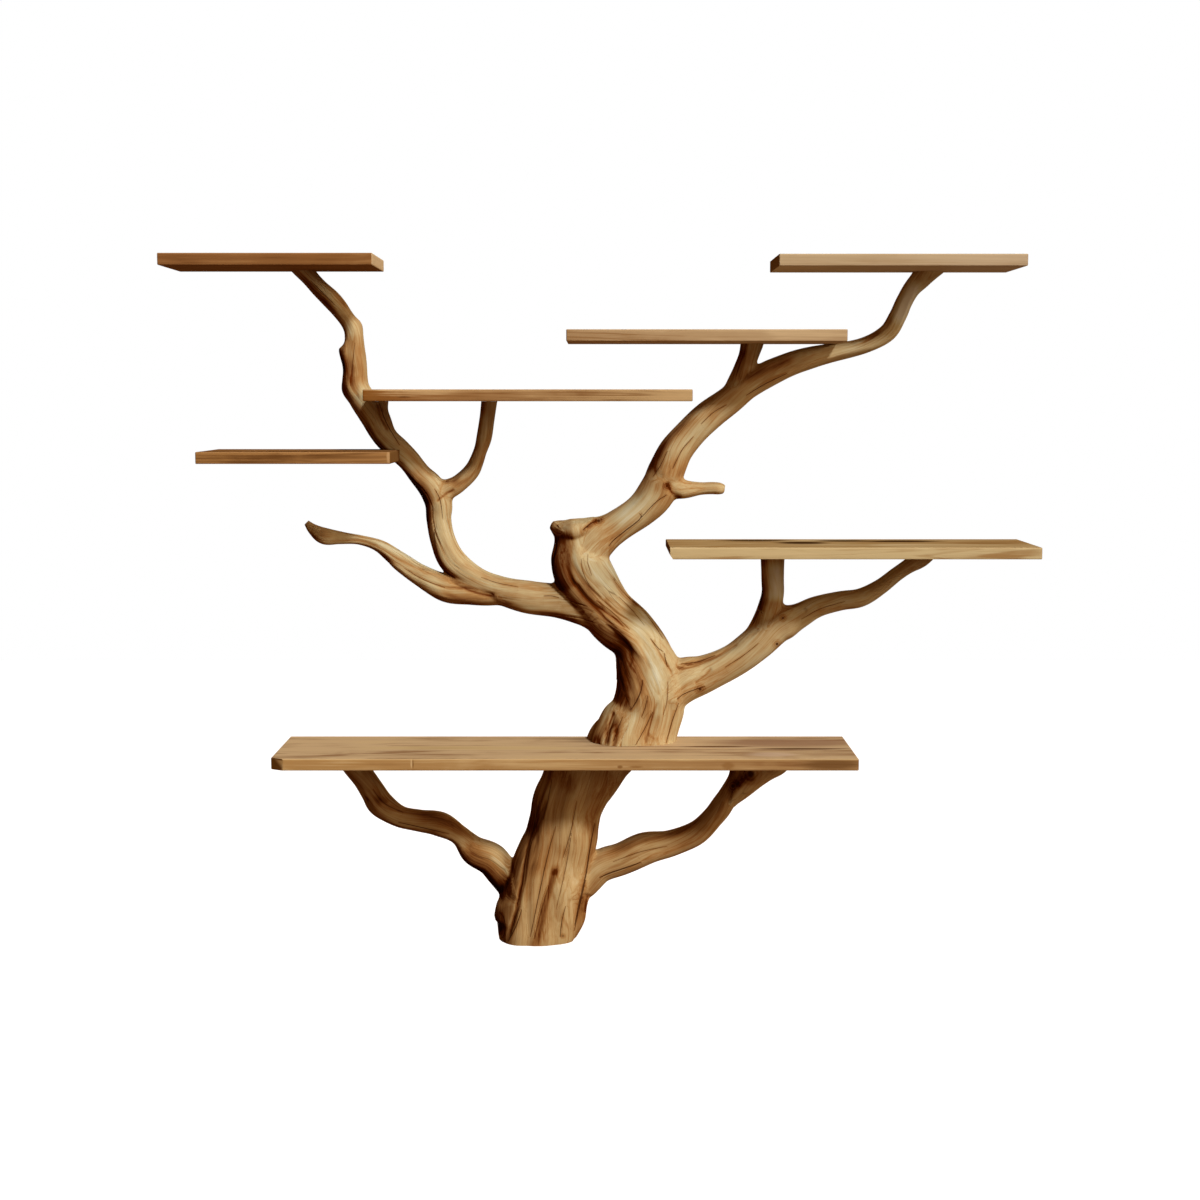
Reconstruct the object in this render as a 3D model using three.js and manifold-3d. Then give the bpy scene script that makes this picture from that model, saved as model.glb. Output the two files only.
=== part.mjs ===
// A tree shaped wall bookshelf: bent timber limbs with planed backs carry seven flat boards.
import * as THREE from 'three';
import { mergeVertices } from 'three/addons/utils/BufferGeometryUtils.js';
import Module from 'manifold-3d';

const wasm = await Module();
wasm.setup();

// Lengths are in millimetres. Heights are above the sole of the foot, places across are
// measured from the hanging point, and the wall is the plane at y = 0, with the room at -y.
const hangHeight = 829;

// Boards, each with its left end, length, depth from the wall and the height of its top. All but
// the bottom board's tops are set by their rise above the board below them.
const boardThickness = 27;
const bottomBoard = { left: -750, length: 1338, depth: 280, top: 480 };
const middleRightRise = 479;
const leftLowerRise = 694;
const middleLeftRise = 140;
const upperMiddleRise = 134;
const topLeftRise = 303;
const topRightRise = 167;
const middleRightBoard = { left: 157, length: 842, depth: 250, top: bottomBoard.top + middleRightRise };
const leftLowerBoard = { left: -909, length: 438, depth: 250, top: bottomBoard.top + leftLowerRise };
const middleLeftBoard = { left: -535, length: 744, depth: 220, top: leftLowerBoard.top + middleLeftRise };
const upperMiddleBoard = { left: -76, length: 632, depth: 220, top: middleLeftBoard.top + upperMiddleRise };
const topLeftBoard = { left: -990, length: 481, depth: 220, top: middleLeftBoard.top + topLeftRise };
const topRightBoard = { left: 400, length: 557, depth: 220, top: upperMiddleBoard.top + topRightRise };
const bottomCornerCut = { along: 30, deep: 18 };

// The trunk's middle at the foot, at the underside and the top of the bottom board, and at the knob.
const footAcross = -155;
const trunkUnderAcross = -15;
const trunkOverAcross = 75;
const knobAcross = -68;
const knobRise = 524;
const freeArmReach = 470;
const freeArmRise = 156;
const pegReach = 140;
const pegDrop = 43;

// Limb widths that the width shares scale, and the depth from the planed back.
const trunkGirth = 200;
const leftLimbGirth = 70;
const rightLimbGirth = 80;
const rightArmGirth = 80;
const braceGirth = 60;
const freeArmGirth = 60;
const twigGirth = 40;
const postGirth = 60;
const backingDepth = 30;
const backingShare = 0.8;
const depthShare = 0.49;

// Fits and clearances.
const jointGap = 0.3;
const seatGap = 0.3;
const dowelClearance = 0.3;
const screwClearance = 0.25;
const cutOverrun = 3000;

// Hardwood dowels and pins.
const stoutDowel = { width: 24, length: 80 };
const limbDowel = { width: 18, length: 64 };
const thinDowel = { width: 12, length: 44 };
const trunkDowel = { width: 24, reach: 40 };
const shelfPin = { width: 10, inLimb: 22, inBoard: 16 };
const postDowelShare = 0.36;
const shelfPinShare = 0.25;
const dowelDepthShare = 0.45;
const trunkDowelDepthShares = [0.3, 0.68];

// Steel hanging plates, let into the planed backs.
const plate = { width: 20, length: 48, thickness: 2.5, inset: 0.5, screwSpan: 36 };
const keyhole = { headWidth: 9, slotWidth: 4.6, slotLength: 9, pocketDepth: 8, pocketMargin: 1.5 };
const plateScrew = { width: 3.6, headWidth: 6.8, headLength: 1.9, length: 22, tipLength: 5 };

// Fineness of the faceted forms.
const ringStep = 40;
const dowelSides = 10;
const screwSides = 10;
const lineDivisions = 400;
const heightSteps = 40;

const limbLook = { color: 0xb98a55, roughness: 0.62, metalness: 0 };
const lowerLimbLook = { color: 0xa87542, roughness: 0.65, metalness: 0 };
const brownBoardLook = { color: 0x9a6d3f, roughness: 0.55, metalness: 0 };
const paleBoardLook = { color: 0xbd9560, roughness: 0.52, metalness: 0 };
const dowelLook = { color: 0xc9a671, roughness: 0.7, metalness: 0 };
const steelLook = { color: 0x9a9c9e, roughness: 0.38, metalness: 0.9 };

// Half of a limb's section, from the planed back to the crown: across and out from the wall.
const sectionHalfShares = [[0.6, 0], [0.9, 0.12], [1, 0.36], [0.93, 0.62], [0.72, 0.84], [0.4, 0.965]];
const crownShares = [0, 1];

const tree = new THREE.Group();
tree.position.z = -hangHeight;

function underside(board) {
  return board.top - boardThickness;
}

function placeUnder(board, alongShare) {
  return new THREE.Vector2(board.left + board.length * alongShare, underside(board));
}

// A leg of a limb runs from one place to another. Each row of shares gives a station: along
// the leg and to its left, as shares of the leg's length, and the width as a share of the girth.
// A station's mark is the number of legs before it plus its share along its own leg.
function legStations(from, to, girth, stationShares, legsBefore = 0) {
  const run = to.clone().sub(from);
  const left = new THREE.Vector2(-run.y, run.x);
  return stationShares.map(([alongShare, leftShare, widthShare]) => ({
    place: from.clone().addScaledVector(run, alongShare).addScaledVector(left, leftShare),
    width: girth * widthShare,
    mark: legsBefore + alongShare,
  }));
}

function depthFor(width) {
  return width * depthShare + Math.min(backingDepth, width * backingShare);
}

// A limb has a smooth centre line in the wall plane, with a width and a depth along it.
class Limb {
  constructor(stations) {
    this.line = new THREE.CatmullRomCurve3(
      stations.map(({ place }) => new THREE.Vector3(place.x, 0, place.y)));
    this.line.arcLengthDivisions = lineDivisions;
    this.sizes = new THREE.CatmullRomCurve3(
      stations.map(({ width }) => new THREE.Vector3(width, depthFor(width), 0)), false, 'catmullrom');
    this.marks = stations.map(({ mark }) => mark);
    this.length = this.line.getLength();
  }

  // The share of the centre line's length at a mark.
  shareAt(mark) {
    const next = this.marks.findIndex((reached) => reached >= mark);
    const last = this.marks[next - 1];
    const t = (next - 1 + (mark - last) / (this.marks[next] - last)) / (this.marks.length - 1);
    const lengths = this.line.getLengths();
    const step = Math.floor(t * lineDivisions);
    const reached = THREE.MathUtils.lerp(lengths[step], lengths[step + 1], t * lineDivisions - step);
    return reached / this.length;
  }

  at(share) {
    const t = this.line.getUtoTmapping(Math.min(share, 1));
    const size = this.sizes.getPoint(t);
    return {
      place: this.line.getPoint(t),
      ahead: this.line.getTangent(t),
      width: size.x,
      depth: size.y,
    };
  }

  root(share) {
    const { place } = this.at(share);
    return new THREE.Vector2(place.x, place.z);
  }

  // The last share at which the centre line passes a height.
  shareAtHeight(height) {
    let low = 1;
    while (low > 0 && this.at(low).place.z > height) low = Math.max(0, low - 1 / heightSteps);
    let high = Math.min(1, low + 1 / heightSteps);
    for (let step = 0; step < heightSteps; step += 1) {
      const middle = (low + high) / 2;
      if (this.at(middle).place.z > height) high = middle;
      else low = middle;
    }
    return low;
  }
}

function sectionPoints(width, depth) {
  const leftHalfShares = sectionHalfShares.map(([acrossShare, outShare]) => [-acrossShare, outShare]);
  const outlineShares = [...sectionHalfShares, crownShares, ...leftHalfShares.reverse()];
  return outlineShares.map(([acrossShare, outShare]) => [acrossShare * width / 2, outShare * depth]);
}

// A lofted length of limb between two shares of its centre line, thicker all round by skin.
function loft(limb, fromShare, toShare, skin = 0) {
  const length = limb.length * (toShare - fromShare);
  const spans = Math.max(2, Math.ceil(length / ringStep));
  const positions = [];
  const sides = 2 * sectionHalfShares.length + 1;
  for (let ring = 0; ring <= spans; ring += 1) {
    const { place, ahead, width, depth } = limb.at(fromShare + (toShare - fromShare) * ring / spans);
    const across = new THREE.Vector3(-ahead.z, 0, ahead.x);
    for (const [acrossLength, outLength] of sectionPoints(width + 2 * skin, depth + 2 * skin)) {
      const corner = place.clone().addScaledVector(across, acrossLength);
      positions.push(corner.x, skin - outLength, corner.z);
    }
  }
  const faces = [];
  for (let side = 1; side < sides - 1; side += 1) {
    const last = spans * sides;
    faces.push(0, side + 1, side, last, last + side, last + side + 1);
  }
  for (let ring = 0; ring < spans; ring += 1) {
    for (let side = 0; side < sides; side += 1) {
      const here = ring * sides + side;
      const next = ring * sides + (side + 1) % sides;
      faces.push(here, next, next + sides, here, next + sides, here + sides);
    }
  }
  const geometry = new THREE.BufferGeometry();
  geometry.setAttribute('position', new THREE.Float32BufferAttribute(positions, 3));
  geometry.setIndex(faces);
  return solidOf(geometry);
}

function solidOf(geometry) {
  geometry.deleteAttribute('normal');
  geometry.deleteAttribute('uv');
  const merged = mergeVertices(geometry);
  return new wasm.Manifold(new wasm.Mesh({
    numProp: 3,
    vertProperties: Float32Array.from(merged.getAttribute('position').array),
    triVerts: Uint32Array.from(merged.getIndex().array),
  }));
}

function geometryOf(solid) {
  const mesh = solid.getMesh();
  const geometry = new THREE.BufferGeometry();
  geometry.setAttribute('position', new THREE.BufferAttribute(mesh.vertProperties, mesh.numProp));
  geometry.setIndex(new THREE.BufferAttribute(mesh.triVerts, 1));
  geometry.computeVertexNormals();
  return geometry;
}

function addPiece(name, solid, look) {
  const material = new THREE.MeshStandardMaterial({ ...look, flatShading: true });
  const mesh = new THREE.Mesh(geometryOf(solid), material);
  mesh.name = name;
  tree.add(mesh);
}

function block(low, high) {
  const size = high.clone().sub(low);
  const geometry = new THREE.BoxGeometry(size.x, size.y, size.z);
  geometry.translate(low.x + size.x / 2, low.y + size.y / 2, low.z + size.z / 2);
  return solidOf(geometry);
}

function rod(width, from, to, sides = dowelSides) {
  const run = to.clone().sub(from);
  const geometry = new THREE.CylinderGeometry(width / 2, width / 2, run.length(), sides);
  const upright = new THREE.Vector3(0, 1, 0);
  geometry.applyQuaternion(new THREE.Quaternion().setFromUnitVectors(upright, run.clone().normalize()));
  const middle = from.clone().addScaledVector(run, 1 / 2);
  geometry.translate(middle.x, middle.y, middle.z);
  return solidOf(geometry);
}

// Everything above a height, or below it, as a cutter.
function above(height) {
  return block(
    new THREE.Vector3(-cutOverrun, -cutOverrun, height),
    new THREE.Vector3(cutOverrun, cutOverrun, cutOverrun));
}

function below(height) {
  return block(
    new THREE.Vector3(-cutOverrun, -cutOverrun, -cutOverrun),
    new THREE.Vector3(cutOverrun, cutOverrun, height));
}

const boards = [topLeftBoard, topRightBoard, upperMiddleBoard, middleLeftBoard, leftLowerBoard,
  middleRightBoard, bottomBoard];

function boardBlock(board, gap) {
  return block(
    new THREE.Vector3(board.left - gap, -board.depth - gap, underside(board) - gap),
    new THREE.Vector3(board.left + board.length + gap, gap, board.top + gap));
}

// A limb is notched round every board that it meets.
function notched(solid) {
  return boards.reduce((rest, board) => rest.subtract(boardBlock(board, seatGap)), solid);
}

// Places and widths along every limb.
const trunkBaseShares = [
  [-0.06, -0.01, 0.82], [0, 0, 0.9], [0.063, 0.008, 1.04], [0.19, 0.03, 1.09], [0.345, 0.036, 1.01],
  [0.49, 0.038, 0.91], [0.6, 0.045, 0.86], [0.69, 0.051, 0.86], [0.79, 0.04, 0.91],
  [0.895, 0.019, 1.03], [1, 0, 1.08], [1.107, 0.011, 1.14],
];
const trunkUpperShares = [
  [-0.087, 0.03, 1.12], [0, 0, 1.08], [0.05, -0.057, 1], [0.118, -0.103, 0.91], [0.2, -0.134, 0.84],
  [0.315, -0.137, 0.76], [0.44, -0.103, 0.71], [0.575, -0.05, 0.69], [0.714, -0.006, 0.69],
  [0.83, 0.007, 0.66], [0.92, 0.009, 0.59], [1, 0, 0.54],
];

const trunkBase = new Limb(legStations(
  new THREE.Vector2(footAcross, 0), new THREE.Vector2(trunkUnderAcross, underside(bottomBoard)),
  trunkGirth, trunkBaseShares));
const trunkUpper = new Limb(legStations(
  new THREE.Vector2(trunkOverAcross, bottomBoard.top),
  new THREE.Vector2(knobAcross, bottomBoard.top + knobRise), trunkGirth, trunkUpperShares));

// The left limb bends round the left lower board's end, and passes the middle left board's end.
const leftLimbRootShare = 0.601;
const leftLimbFirstShares = [
  [0, 0, 1.57], [0.11, 0.026, 1.3], [0.2, 0.061, 1.06], [0.3, 0.117, 1.02], [0.4, 0.164, 0.95],
  [0.495, 0.186, 0.88], [0.595, 0.183, 0.92], [0.68, 0.152, 0.88], [0.74, 0.103, 0.86],
  [0.78, 0.057, 0.88], [0.833, 0.021, 0.91], [0.893, 0.001, 0.81], [0.958, -0.01, 0.84],
];
const leftLimbSecondShares = [[0.07, -0.058, 0.91], [0.354, -0.035, 0.94], [0.672, -0.035, 0.94]];
const leftLimbThirdShares = [
  [-0.02, -0.003, 0.91], [0.086, -0.002, 0.91], [0.19, -0.041, 0.82], [0.295, -0.074, 0.84],
  [0.406, -0.133, 0.67], [0.5, -0.152, 0.6], [0.634, -0.124, 0.59], [0.743, -0.093, 0.6],
  [0.842, -0.049, 0.6], [0.935, -0.019, 0.6], [1.1, 0.01, 0.82],
];
const leftLimbTipShare = 0.6195;
const leftBendOffset = { across: -6, drop: 14 };
const leftPassOffset = { across: -29, drop: 14 };
const leftBend = new THREE.Vector2(
  leftLowerBoard.left + leftLowerBoard.length + leftBendOffset.across,
  leftLowerBoard.top - leftBendOffset.drop);
const leftPass = new THREE.Vector2(
  middleLeftBoard.left + leftPassOffset.across, middleLeftBoard.top - leftPassOffset.drop);
const leftLimb = new Limb([
  ...legStations(trunkUpper.root(leftLimbRootShare), leftBend, leftLimbGirth, leftLimbFirstShares),
  ...legStations(leftBend, leftPass, leftLimbGirth, leftLimbSecondShares, 1),
  ...legStations(leftPass, placeUnder(topLeftBoard, leftLimbTipShare), leftLimbGirth, leftLimbThirdShares, 2),
]);

// The right limb leaves the elbow, passes under the upper middle board and turns up beside it.
const rightLimbRootShare = 0.871;
const rightLimbSeatShare = 0.9826;
const rightLimbSeatDrop = 22;
const rightLimbTipShare = 0.6463;
const rightLimbFirstShares = [
  [0, 0, 1.45], [0.08, 0.008, 1.32], [0.144, -0.001, 1.1], [0.232, -0.007, 1.01], [0.303, 0.008, 1.07],
  [0.367, 0.037, 1.06], [0.434, 0.071, 0.99], [0.507, 0.088, 0.94], [0.575, 0.093, 0.91],
  [0.647, 0.095, 0.88], [0.718, 0.093, 0.85], [0.797, 0.078, 0.76], [0.876, 0.053, 0.71],
  [0.943, 0.027, 0.63],
];
const rightLimbSecondShares = [
  [0, 0, 0.59], [0.253, -0.121, 0.5], [0.45, -0.154, 0.53], [0.596, -0.11, 0.53], [0.712, -0.061, 0.51],
  [0.829, -0.024, 0.54], [0.948, -0.01, 0.64], [1.15, 0.01, 0.95],
];
const rightLimbSeat = placeUnder(upperMiddleBoard, rightLimbSeatShare);
rightLimbSeat.y -= rightLimbSeatDrop;
const rightLimb = new Limb([
  ...legStations(trunkUpper.root(rightLimbRootShare), rightLimbSeat, rightLimbGirth, rightLimbFirstShares),
  ...legStations(rightLimbSeat, placeUnder(topRightBoard, rightLimbTipShare),
    rightLimbGirth, rightLimbSecondShares, 1),
]);

// The right arm leaves the trunk low down and rises to the middle right board.
const rightArmRootShare = 0.289;
const rightArmTipShare = 0.734;
const rightArmShares = [
  [0, 0, 1.6], [0.04, -0.03, 1.5], [0.12, -0.028, 1.38], [0.193, -0.035, 1.14], [0.29, -0.036, 1.02],
  [0.383, -0.016, 1.02], [0.459, 0, 0.93], [0.538, 0.001, 0.76], [0.606, 0, 0.66], [0.688, -0.016, 0.6],
  [0.752, -0.033, 0.57], [0.821, -0.031, 0.48], [0.879, -0.021, 0.45], [0.928, -0.016, 0.48],
  [0.972, -0.013, 0.54], [1.08, -0.002, 0.66],
];
const rightArm = new Limb(legStations(
  trunkUpper.root(rightArmRootShare), placeUnder(middleRightBoard, rightArmTipShare),
  rightArmGirth, rightArmShares));

// Two braces run from the lower trunk to the bottom board.
const leftBraceRootShare = 0.224;
const leftBraceTipShare = 0.1046;
const leftBraceShares = [
  [0, 0, 1.2], [0.072, 0.041, 1.46], [0.176, 0.025, 1.45], [0.258, 0.013, 1.29], [0.337, 0.009, 1.13],
  [0.422, 0.005, 0.89], [0.514, 0.012, 1.01], [0.592, 0.045, 0.93], [0.668, 0.081, 0.89],
  [0.748, 0.089, 1.01], [0.807, 0.071, 1], [0.869, 0.05, 1], [0.925, 0.029, 1.04], [1.06, -0.02, 1.15],
];
const leftBrace = new Limb(legStations(
  trunkBase.root(leftBraceRootShare), placeUnder(bottomBoard, leftBraceTipShare),
  braceGirth, leftBraceShares));
const rightBraceRootShare = 0.243;
const rightBraceTipShare = 0.8595;
const rightBraceShares = [
  [0, 0, 1.5], [0.118, -0.06, 1.75], [0.223, -0.045, 1.7], [0.313, -0.052, 1.37], [0.411, -0.075, 1.29],
  [0.505, -0.103, 1.13], [0.604, -0.122, 1.01], [0.688, -0.103, 0.93], [0.758, -0.084, 0.97],
  [0.828, -0.06, 1.17], [0.868, -0.049, 1.42], [0.928, -0.043, 2], [1, 0, 2.6], [1.05, 0.055, 2.8],
];
const rightBrace = new Limb(legStations(
  trunkBase.root(rightBraceRootShare), placeUnder(bottomBoard, rightBraceTipShare),
  braceGirth, rightBraceShares));

// The free arm ends in the air in a pointed knob.
const freeArmRootShare = leftLimb.shareAt(0.401);
const freeArmShares = [
  [0, 0, 1.03], [0.144, 0.071, 1.03], [0.269, 0.081, 1.03], [0.4, 0.065, 0.91], [0.512, 0.029, 0.75],
  [0.625, -0.003, 0.56], [0.725, -0.006, 0.42], [0.82, 0.01, 0.54], [0.894, 0.031, 0.65],
  [0.959, 0.02, 0.48], [1, 0, 0.2],
];
const freeArmRoot = leftLimb.root(freeArmRootShare);
const freeArmTip = new THREE.Vector2(freeArmRoot.x - freeArmReach, freeArmRoot.y + freeArmRise);
const freeArm = new Limb(legStations(freeArmRoot, freeArmTip, freeArmGirth, freeArmShares));

// Twigs and posts under the boards, and the broken peg.
const shelf3TwigRootShare = leftLimb.shareAt(0.799);
const shelf3TwigTipShare = 0.3642;
const shelf3TwigShares = [
  [0, 0, 1.5], [0.082, -0.02, 1.42], [0.217, -0.099, 1.13], [0.388, -0.161, 0.98], [0.563, -0.158, 0.89],
  [0.703, -0.111, 0.86], [0.843, -0.065, 0.97], [1.06, 0.01, 1.05],
];
const shelf3Twig = new Limb(legStations(
  leftLimb.root(shelf3TwigRootShare), placeUnder(middleLeftBoard, shelf3TwigTipShare),
  twigGirth, shelf3TwigShares));
const shelf3ForkRootShare = leftLimb.shareAt(1.352);
const shelf3ForkTipShare = 0.027;
const shelf3ForkShares = [[0, 0, 0.95], [0.48, 0.015, 0.8], [0.9, 0, 0.83], [1.2, 0, 0.9]];
const shelf3Fork = new Limb(legStations(
  leftLimb.root(shelf3ForkRootShare), placeUnder(middleLeftBoard, shelf3ForkTipShare),
  twigGirth, shelf3ForkShares));
const shelf4PostRootShare = rightLimb.shareAt(0.706);
const shelf4PostTipShare = 0.69;
const shelf4PostShares = [[0, 0, 1.02], [0.394, 0.01, 0.94], [0.723, -0.006, 0.86], [1.1, 0.02, 1.05]];
const shelf4Post = new Limb(legStations(
  rightLimb.root(shelf4PostRootShare), placeUnder(upperMiddleBoard, shelf4PostTipShare),
  postGirth, shelf4PostShares));
const shelf6PostRootShare = 0.398;
const shelf6PostTipShare = 0.3017;
const shelf6PostShares = [
  [0, 0, 1.2], [0.304, 0.005, 1.11], [0.476, -0.02, 0.99], [0.651, -0.018, 0.93],
  [0.872, -0.009, 0.85], [1.08, 0, 0.85],
];
const shelf6Post = new Limb(legStations(
  rightArm.root(shelf6PostRootShare), placeUnder(middleRightBoard, shelf6PostTipShare),
  postGirth, shelf6PostShares));
const pegRootShare = rightLimb.shareAt(0.367);
const pegShares = [
  [0, -0.02, 1.6], [0.085, -0.112, 1.42], [0.371, -0.16, 1.01], [0.624, -0.099, 0.8],
  [0.807, -0.034, 0.77], [0.933, -0.004, 0.77], [1, 0, 0.47],
];
const pegRoot = rightLimb.root(pegRootShare);
const peg = new Limb(legStations(
  pegRoot, new THREE.Vector2(pegRoot.x + pegReach, pegRoot.y - pegDrop), twigGirth, pegShares));

// Butt joints across the limbs, each at a share of its limb's centre line. Where a limb has
// several legs, the share is that of a mark, so it keeps to its own leg.
const leftBraceJointShare = 0.244;
const rightBraceJointShare = 0.294;
const leftLimbJointShare = leftLimb.shareAt(0.298);
const leftBendJointShare = leftLimb.shareAt(0.677);
const leftTopJointShare = leftLimb.shareAt(2.087);
const freeArmJointShare = 0.338;
const shelf3TwigJointShare = 0.311;
const rightLimbJointShare = rightLimb.shareAt(0.237);
const rightMiddleJointShare = rightLimb.shareAt(0.509);
const rightTopJointShare = rightLimb.shareAt(0.877);
const rightArmJointShare = 0.206;
const rightArmTipJointShare = 0.516;
const shelf4PostJointShare = 0.43;
const shelf6PostJointShare = 0.32;
const shelf4SeatPinShare = rightLimb.shareAt(0.985);

function pastGap(limb, share) {
  return share + jointGap / limb.length;
}

// A dowel or pin is held as its two ends and its width, and bored with a clearance all round.
function pinSolid({ from, to, width }) {
  return rod(width, from, to);
}

function pinBore({ from, to, width }) {
  const reach = to.clone().sub(from).normalize().multiplyScalar(dowelClearance);
  return rod(width + 2 * dowelClearance, from.clone().sub(reach), to.clone().add(reach));
}

function dowelAcross(limb, share, { width, length }) {
  const { place, ahead, depth } = limb.at(share);
  place.y = -dowelDepthShare * depth;
  const reach = ahead.multiplyScalar(length / 2);
  return { from: place.clone().sub(reach), to: place.clone().add(reach), width };
}

// A dowel or pin takes up no more than its share of a short post.
function postDowel(post) {
  return { width: thinDowel.width, length: Math.min(thinDowel.length, post.length * postDowelShare) };
}

function pinInLimb(limb) {
  return Math.min(shelfPin.inLimb, limb.length * shelfPinShare);
}

function uprightPin(limb, share, board) {
  const { place, depth } = limb.at(share);
  const y = -dowelDepthShare * depth;
  return {
    from: new THREE.Vector3(place.x, y, underside(board) - pinInLimb(limb)),
    to: new THREE.Vector3(place.x, y, underside(board) + shelfPin.inBoard),
    width: shelfPin.width,
  };
}

function tipPin(limb, board) {
  return uprightPin(limb, limb.shareAtHeight(underside(board) - pinInLimb(limb) / 2), board);
}

// The left lower board's end is housed in the left limb, and its pin lies flat.
function housedPin(limb, board) {
  const height = board.top - boardThickness / 2;
  const { depth } = limb.at(limb.shareAtHeight(height));
  const end = board.left + board.length;
  return {
    from: new THREE.Vector3(end - shelfPin.inBoard, -dowelDepthShare * depth, height),
    to: new THREE.Vector3(end + shelfPin.inLimb, -dowelDepthShare * depth, height),
    width: shelfPin.width,
  };
}

// The trunk dowels stand where the lower and the upper trunk overlap across the bottom board.
function trunkPin(outShare) {
  const low = trunkBase.at(trunkBase.shareAtHeight(underside(bottomBoard) - trunkDowel.reach));
  const high = trunkUpper.at(trunkUpper.shareAtHeight(bottomBoard.top + trunkDowel.reach));
  const x = (low.place.x + low.width / 2 + high.place.x - high.width / 2) / 2;
  const y = -outShare * low.depth;
  return {
    from: new THREE.Vector3(x, y, underside(bottomBoard) - trunkDowel.reach),
    to: new THREE.Vector3(x, y, bottomBoard.top + trunkDowel.reach),
    width: trunkDowel.width,
  };
}

const dowels = {
  left_brace_dowel: dowelAcross(leftBrace, leftBraceJointShare, limbDowel),
  right_brace_dowel: dowelAcross(rightBrace, rightBraceJointShare, limbDowel),
  left_limb_dowel: dowelAcross(leftLimb, leftLimbJointShare, limbDowel),
  left_bend_dowel: dowelAcross(leftLimb, leftBendJointShare, limbDowel),
  left_top_dowel: dowelAcross(leftLimb, leftTopJointShare, limbDowel),
  free_arm_dowel: dowelAcross(freeArm, freeArmJointShare, limbDowel),
  shelf3_twig_dowel: dowelAcross(shelf3Twig, shelf3TwigJointShare, thinDowel),
  right_limb_dowel: dowelAcross(rightLimb, rightLimbJointShare, stoutDowel),
  right_middle_dowel: dowelAcross(rightLimb, rightMiddleJointShare, limbDowel),
  right_top_dowel: dowelAcross(rightLimb, rightTopJointShare, limbDowel),
  shelf4_post_dowel: dowelAcross(shelf4Post, shelf4PostJointShare, postDowel(shelf4Post)),
  right_arm_dowel: dowelAcross(rightArm, rightArmJointShare, stoutDowel),
  right_arm_tip_dowel: dowelAcross(rightArm, rightArmTipJointShare, limbDowel),
  shelf6_post_dowel: dowelAcross(shelf6Post, shelf6PostJointShare, postDowel(shelf6Post)),
  trunk_dowel_back: trunkPin(trunkDowelDepthShares[0]),
  trunk_dowel_front: trunkPin(trunkDowelDepthShares[1]),
  pin_top_left: tipPin(leftLimb, topLeftBoard),
  pin_left_lower: housedPin(leftLimb, leftLowerBoard),
  pin_middle_left_fork: tipPin(shelf3Fork, middleLeftBoard),
  pin_middle_left_twig: tipPin(shelf3Twig, middleLeftBoard),
  pin_upper_middle_post: tipPin(shelf4Post, upperMiddleBoard),
  pin_upper_middle_seat: uprightPin(rightLimb, shelf4SeatPinShare, upperMiddleBoard),
  pin_top_right: tipPin(rightLimb, topRightBoard),
  pin_middle_right_post: tipPin(shelf6Post, middleRightBoard),
  pin_middle_right_tip: tipPin(rightArm, middleRightBoard),
  pin_bottom_left: tipPin(leftBrace, bottomBoard),
  pin_bottom_right: tipPin(rightBrace, bottomBoard),
};

function bored(solid, ...dowelNames) {
  return dowelNames.reduce((rest, name) => rest.subtract(pinBore(dowels[name])), solid);
}

function fitted(solid, ...dowelNames) {
  return bored(notched(solid), ...dowelNames);
}

// Hanging plates: a keyhole plate let into the back, held by two countersunk screws.
const trunkPlateShare = 0.388;
const leftPlateShare = leftLimb.shareAt(0.758);
const rightPlateShare = rightLimb.shareAt(0.407);
const platePlaces = {
  trunk: trunkUpper.at(trunkPlateShare).place,
  left: leftLimb.at(leftPlateShare).place,
  right: rightLimb.at(rightPlateShare).place,
};

function screwForm(place, rise, clearance) {
  const { width, headWidth, headLength, length, tipLength } = plateScrew;
  const overrun = clearance > 0 ? [new THREE.Vector2(headWidth / 2 + clearance, clearance)] : [];
  const profile = [
    new THREE.Vector2(0, -length - clearance),
    new THREE.Vector2(width / 2 + clearance, tipLength - length),
    new THREE.Vector2(width / 2 + clearance, -headLength),
    new THREE.Vector2(headWidth / 2 + clearance, 0),
    ...overrun,
    new THREE.Vector2(0, clearance),
  ];
  const geometry = new THREE.LatheGeometry(profile, screwSides);
  geometry.translate(place.x, -plate.inset, place.z + rise);
  return solidOf(geometry);
}

function plateScrews(place, clearance) {
  return [-1, 1].map((end) => screwForm(place, end * plate.screwSpan / 2, clearance));
}

function plateSolid({ x, z }) {
  const inner = -plate.inset - plate.thickness;
  const body = block(
    new THREE.Vector3(x - plate.width / 2, inner, z - plate.length / 2),
    new THREE.Vector3(x + plate.width / 2, -plate.inset, z + plate.length / 2));
  const low = z - keyhole.slotLength / 2;
  const high = z + keyhole.slotLength / 2;
  const front = new THREE.Vector3(0, inner - plate.thickness, 0);
  const back = new THREE.Vector3(0, plate.thickness, 0);
  const through = (width, height) => rod(
    width, new THREE.Vector3(x, front.y, height), new THREE.Vector3(x, back.y, height));
  const slot = block(
    new THREE.Vector3(x - keyhole.slotWidth / 2, front.y, low),
    new THREE.Vector3(x + keyhole.slotWidth / 2, back.y, high));
  return [through(keyhole.headWidth, low), through(keyhole.slotWidth, high), slot,
    ...plateScrews({ x, z }, screwClearance)].reduce((rest, cut) => rest.subtract(cut), body);
}

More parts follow.
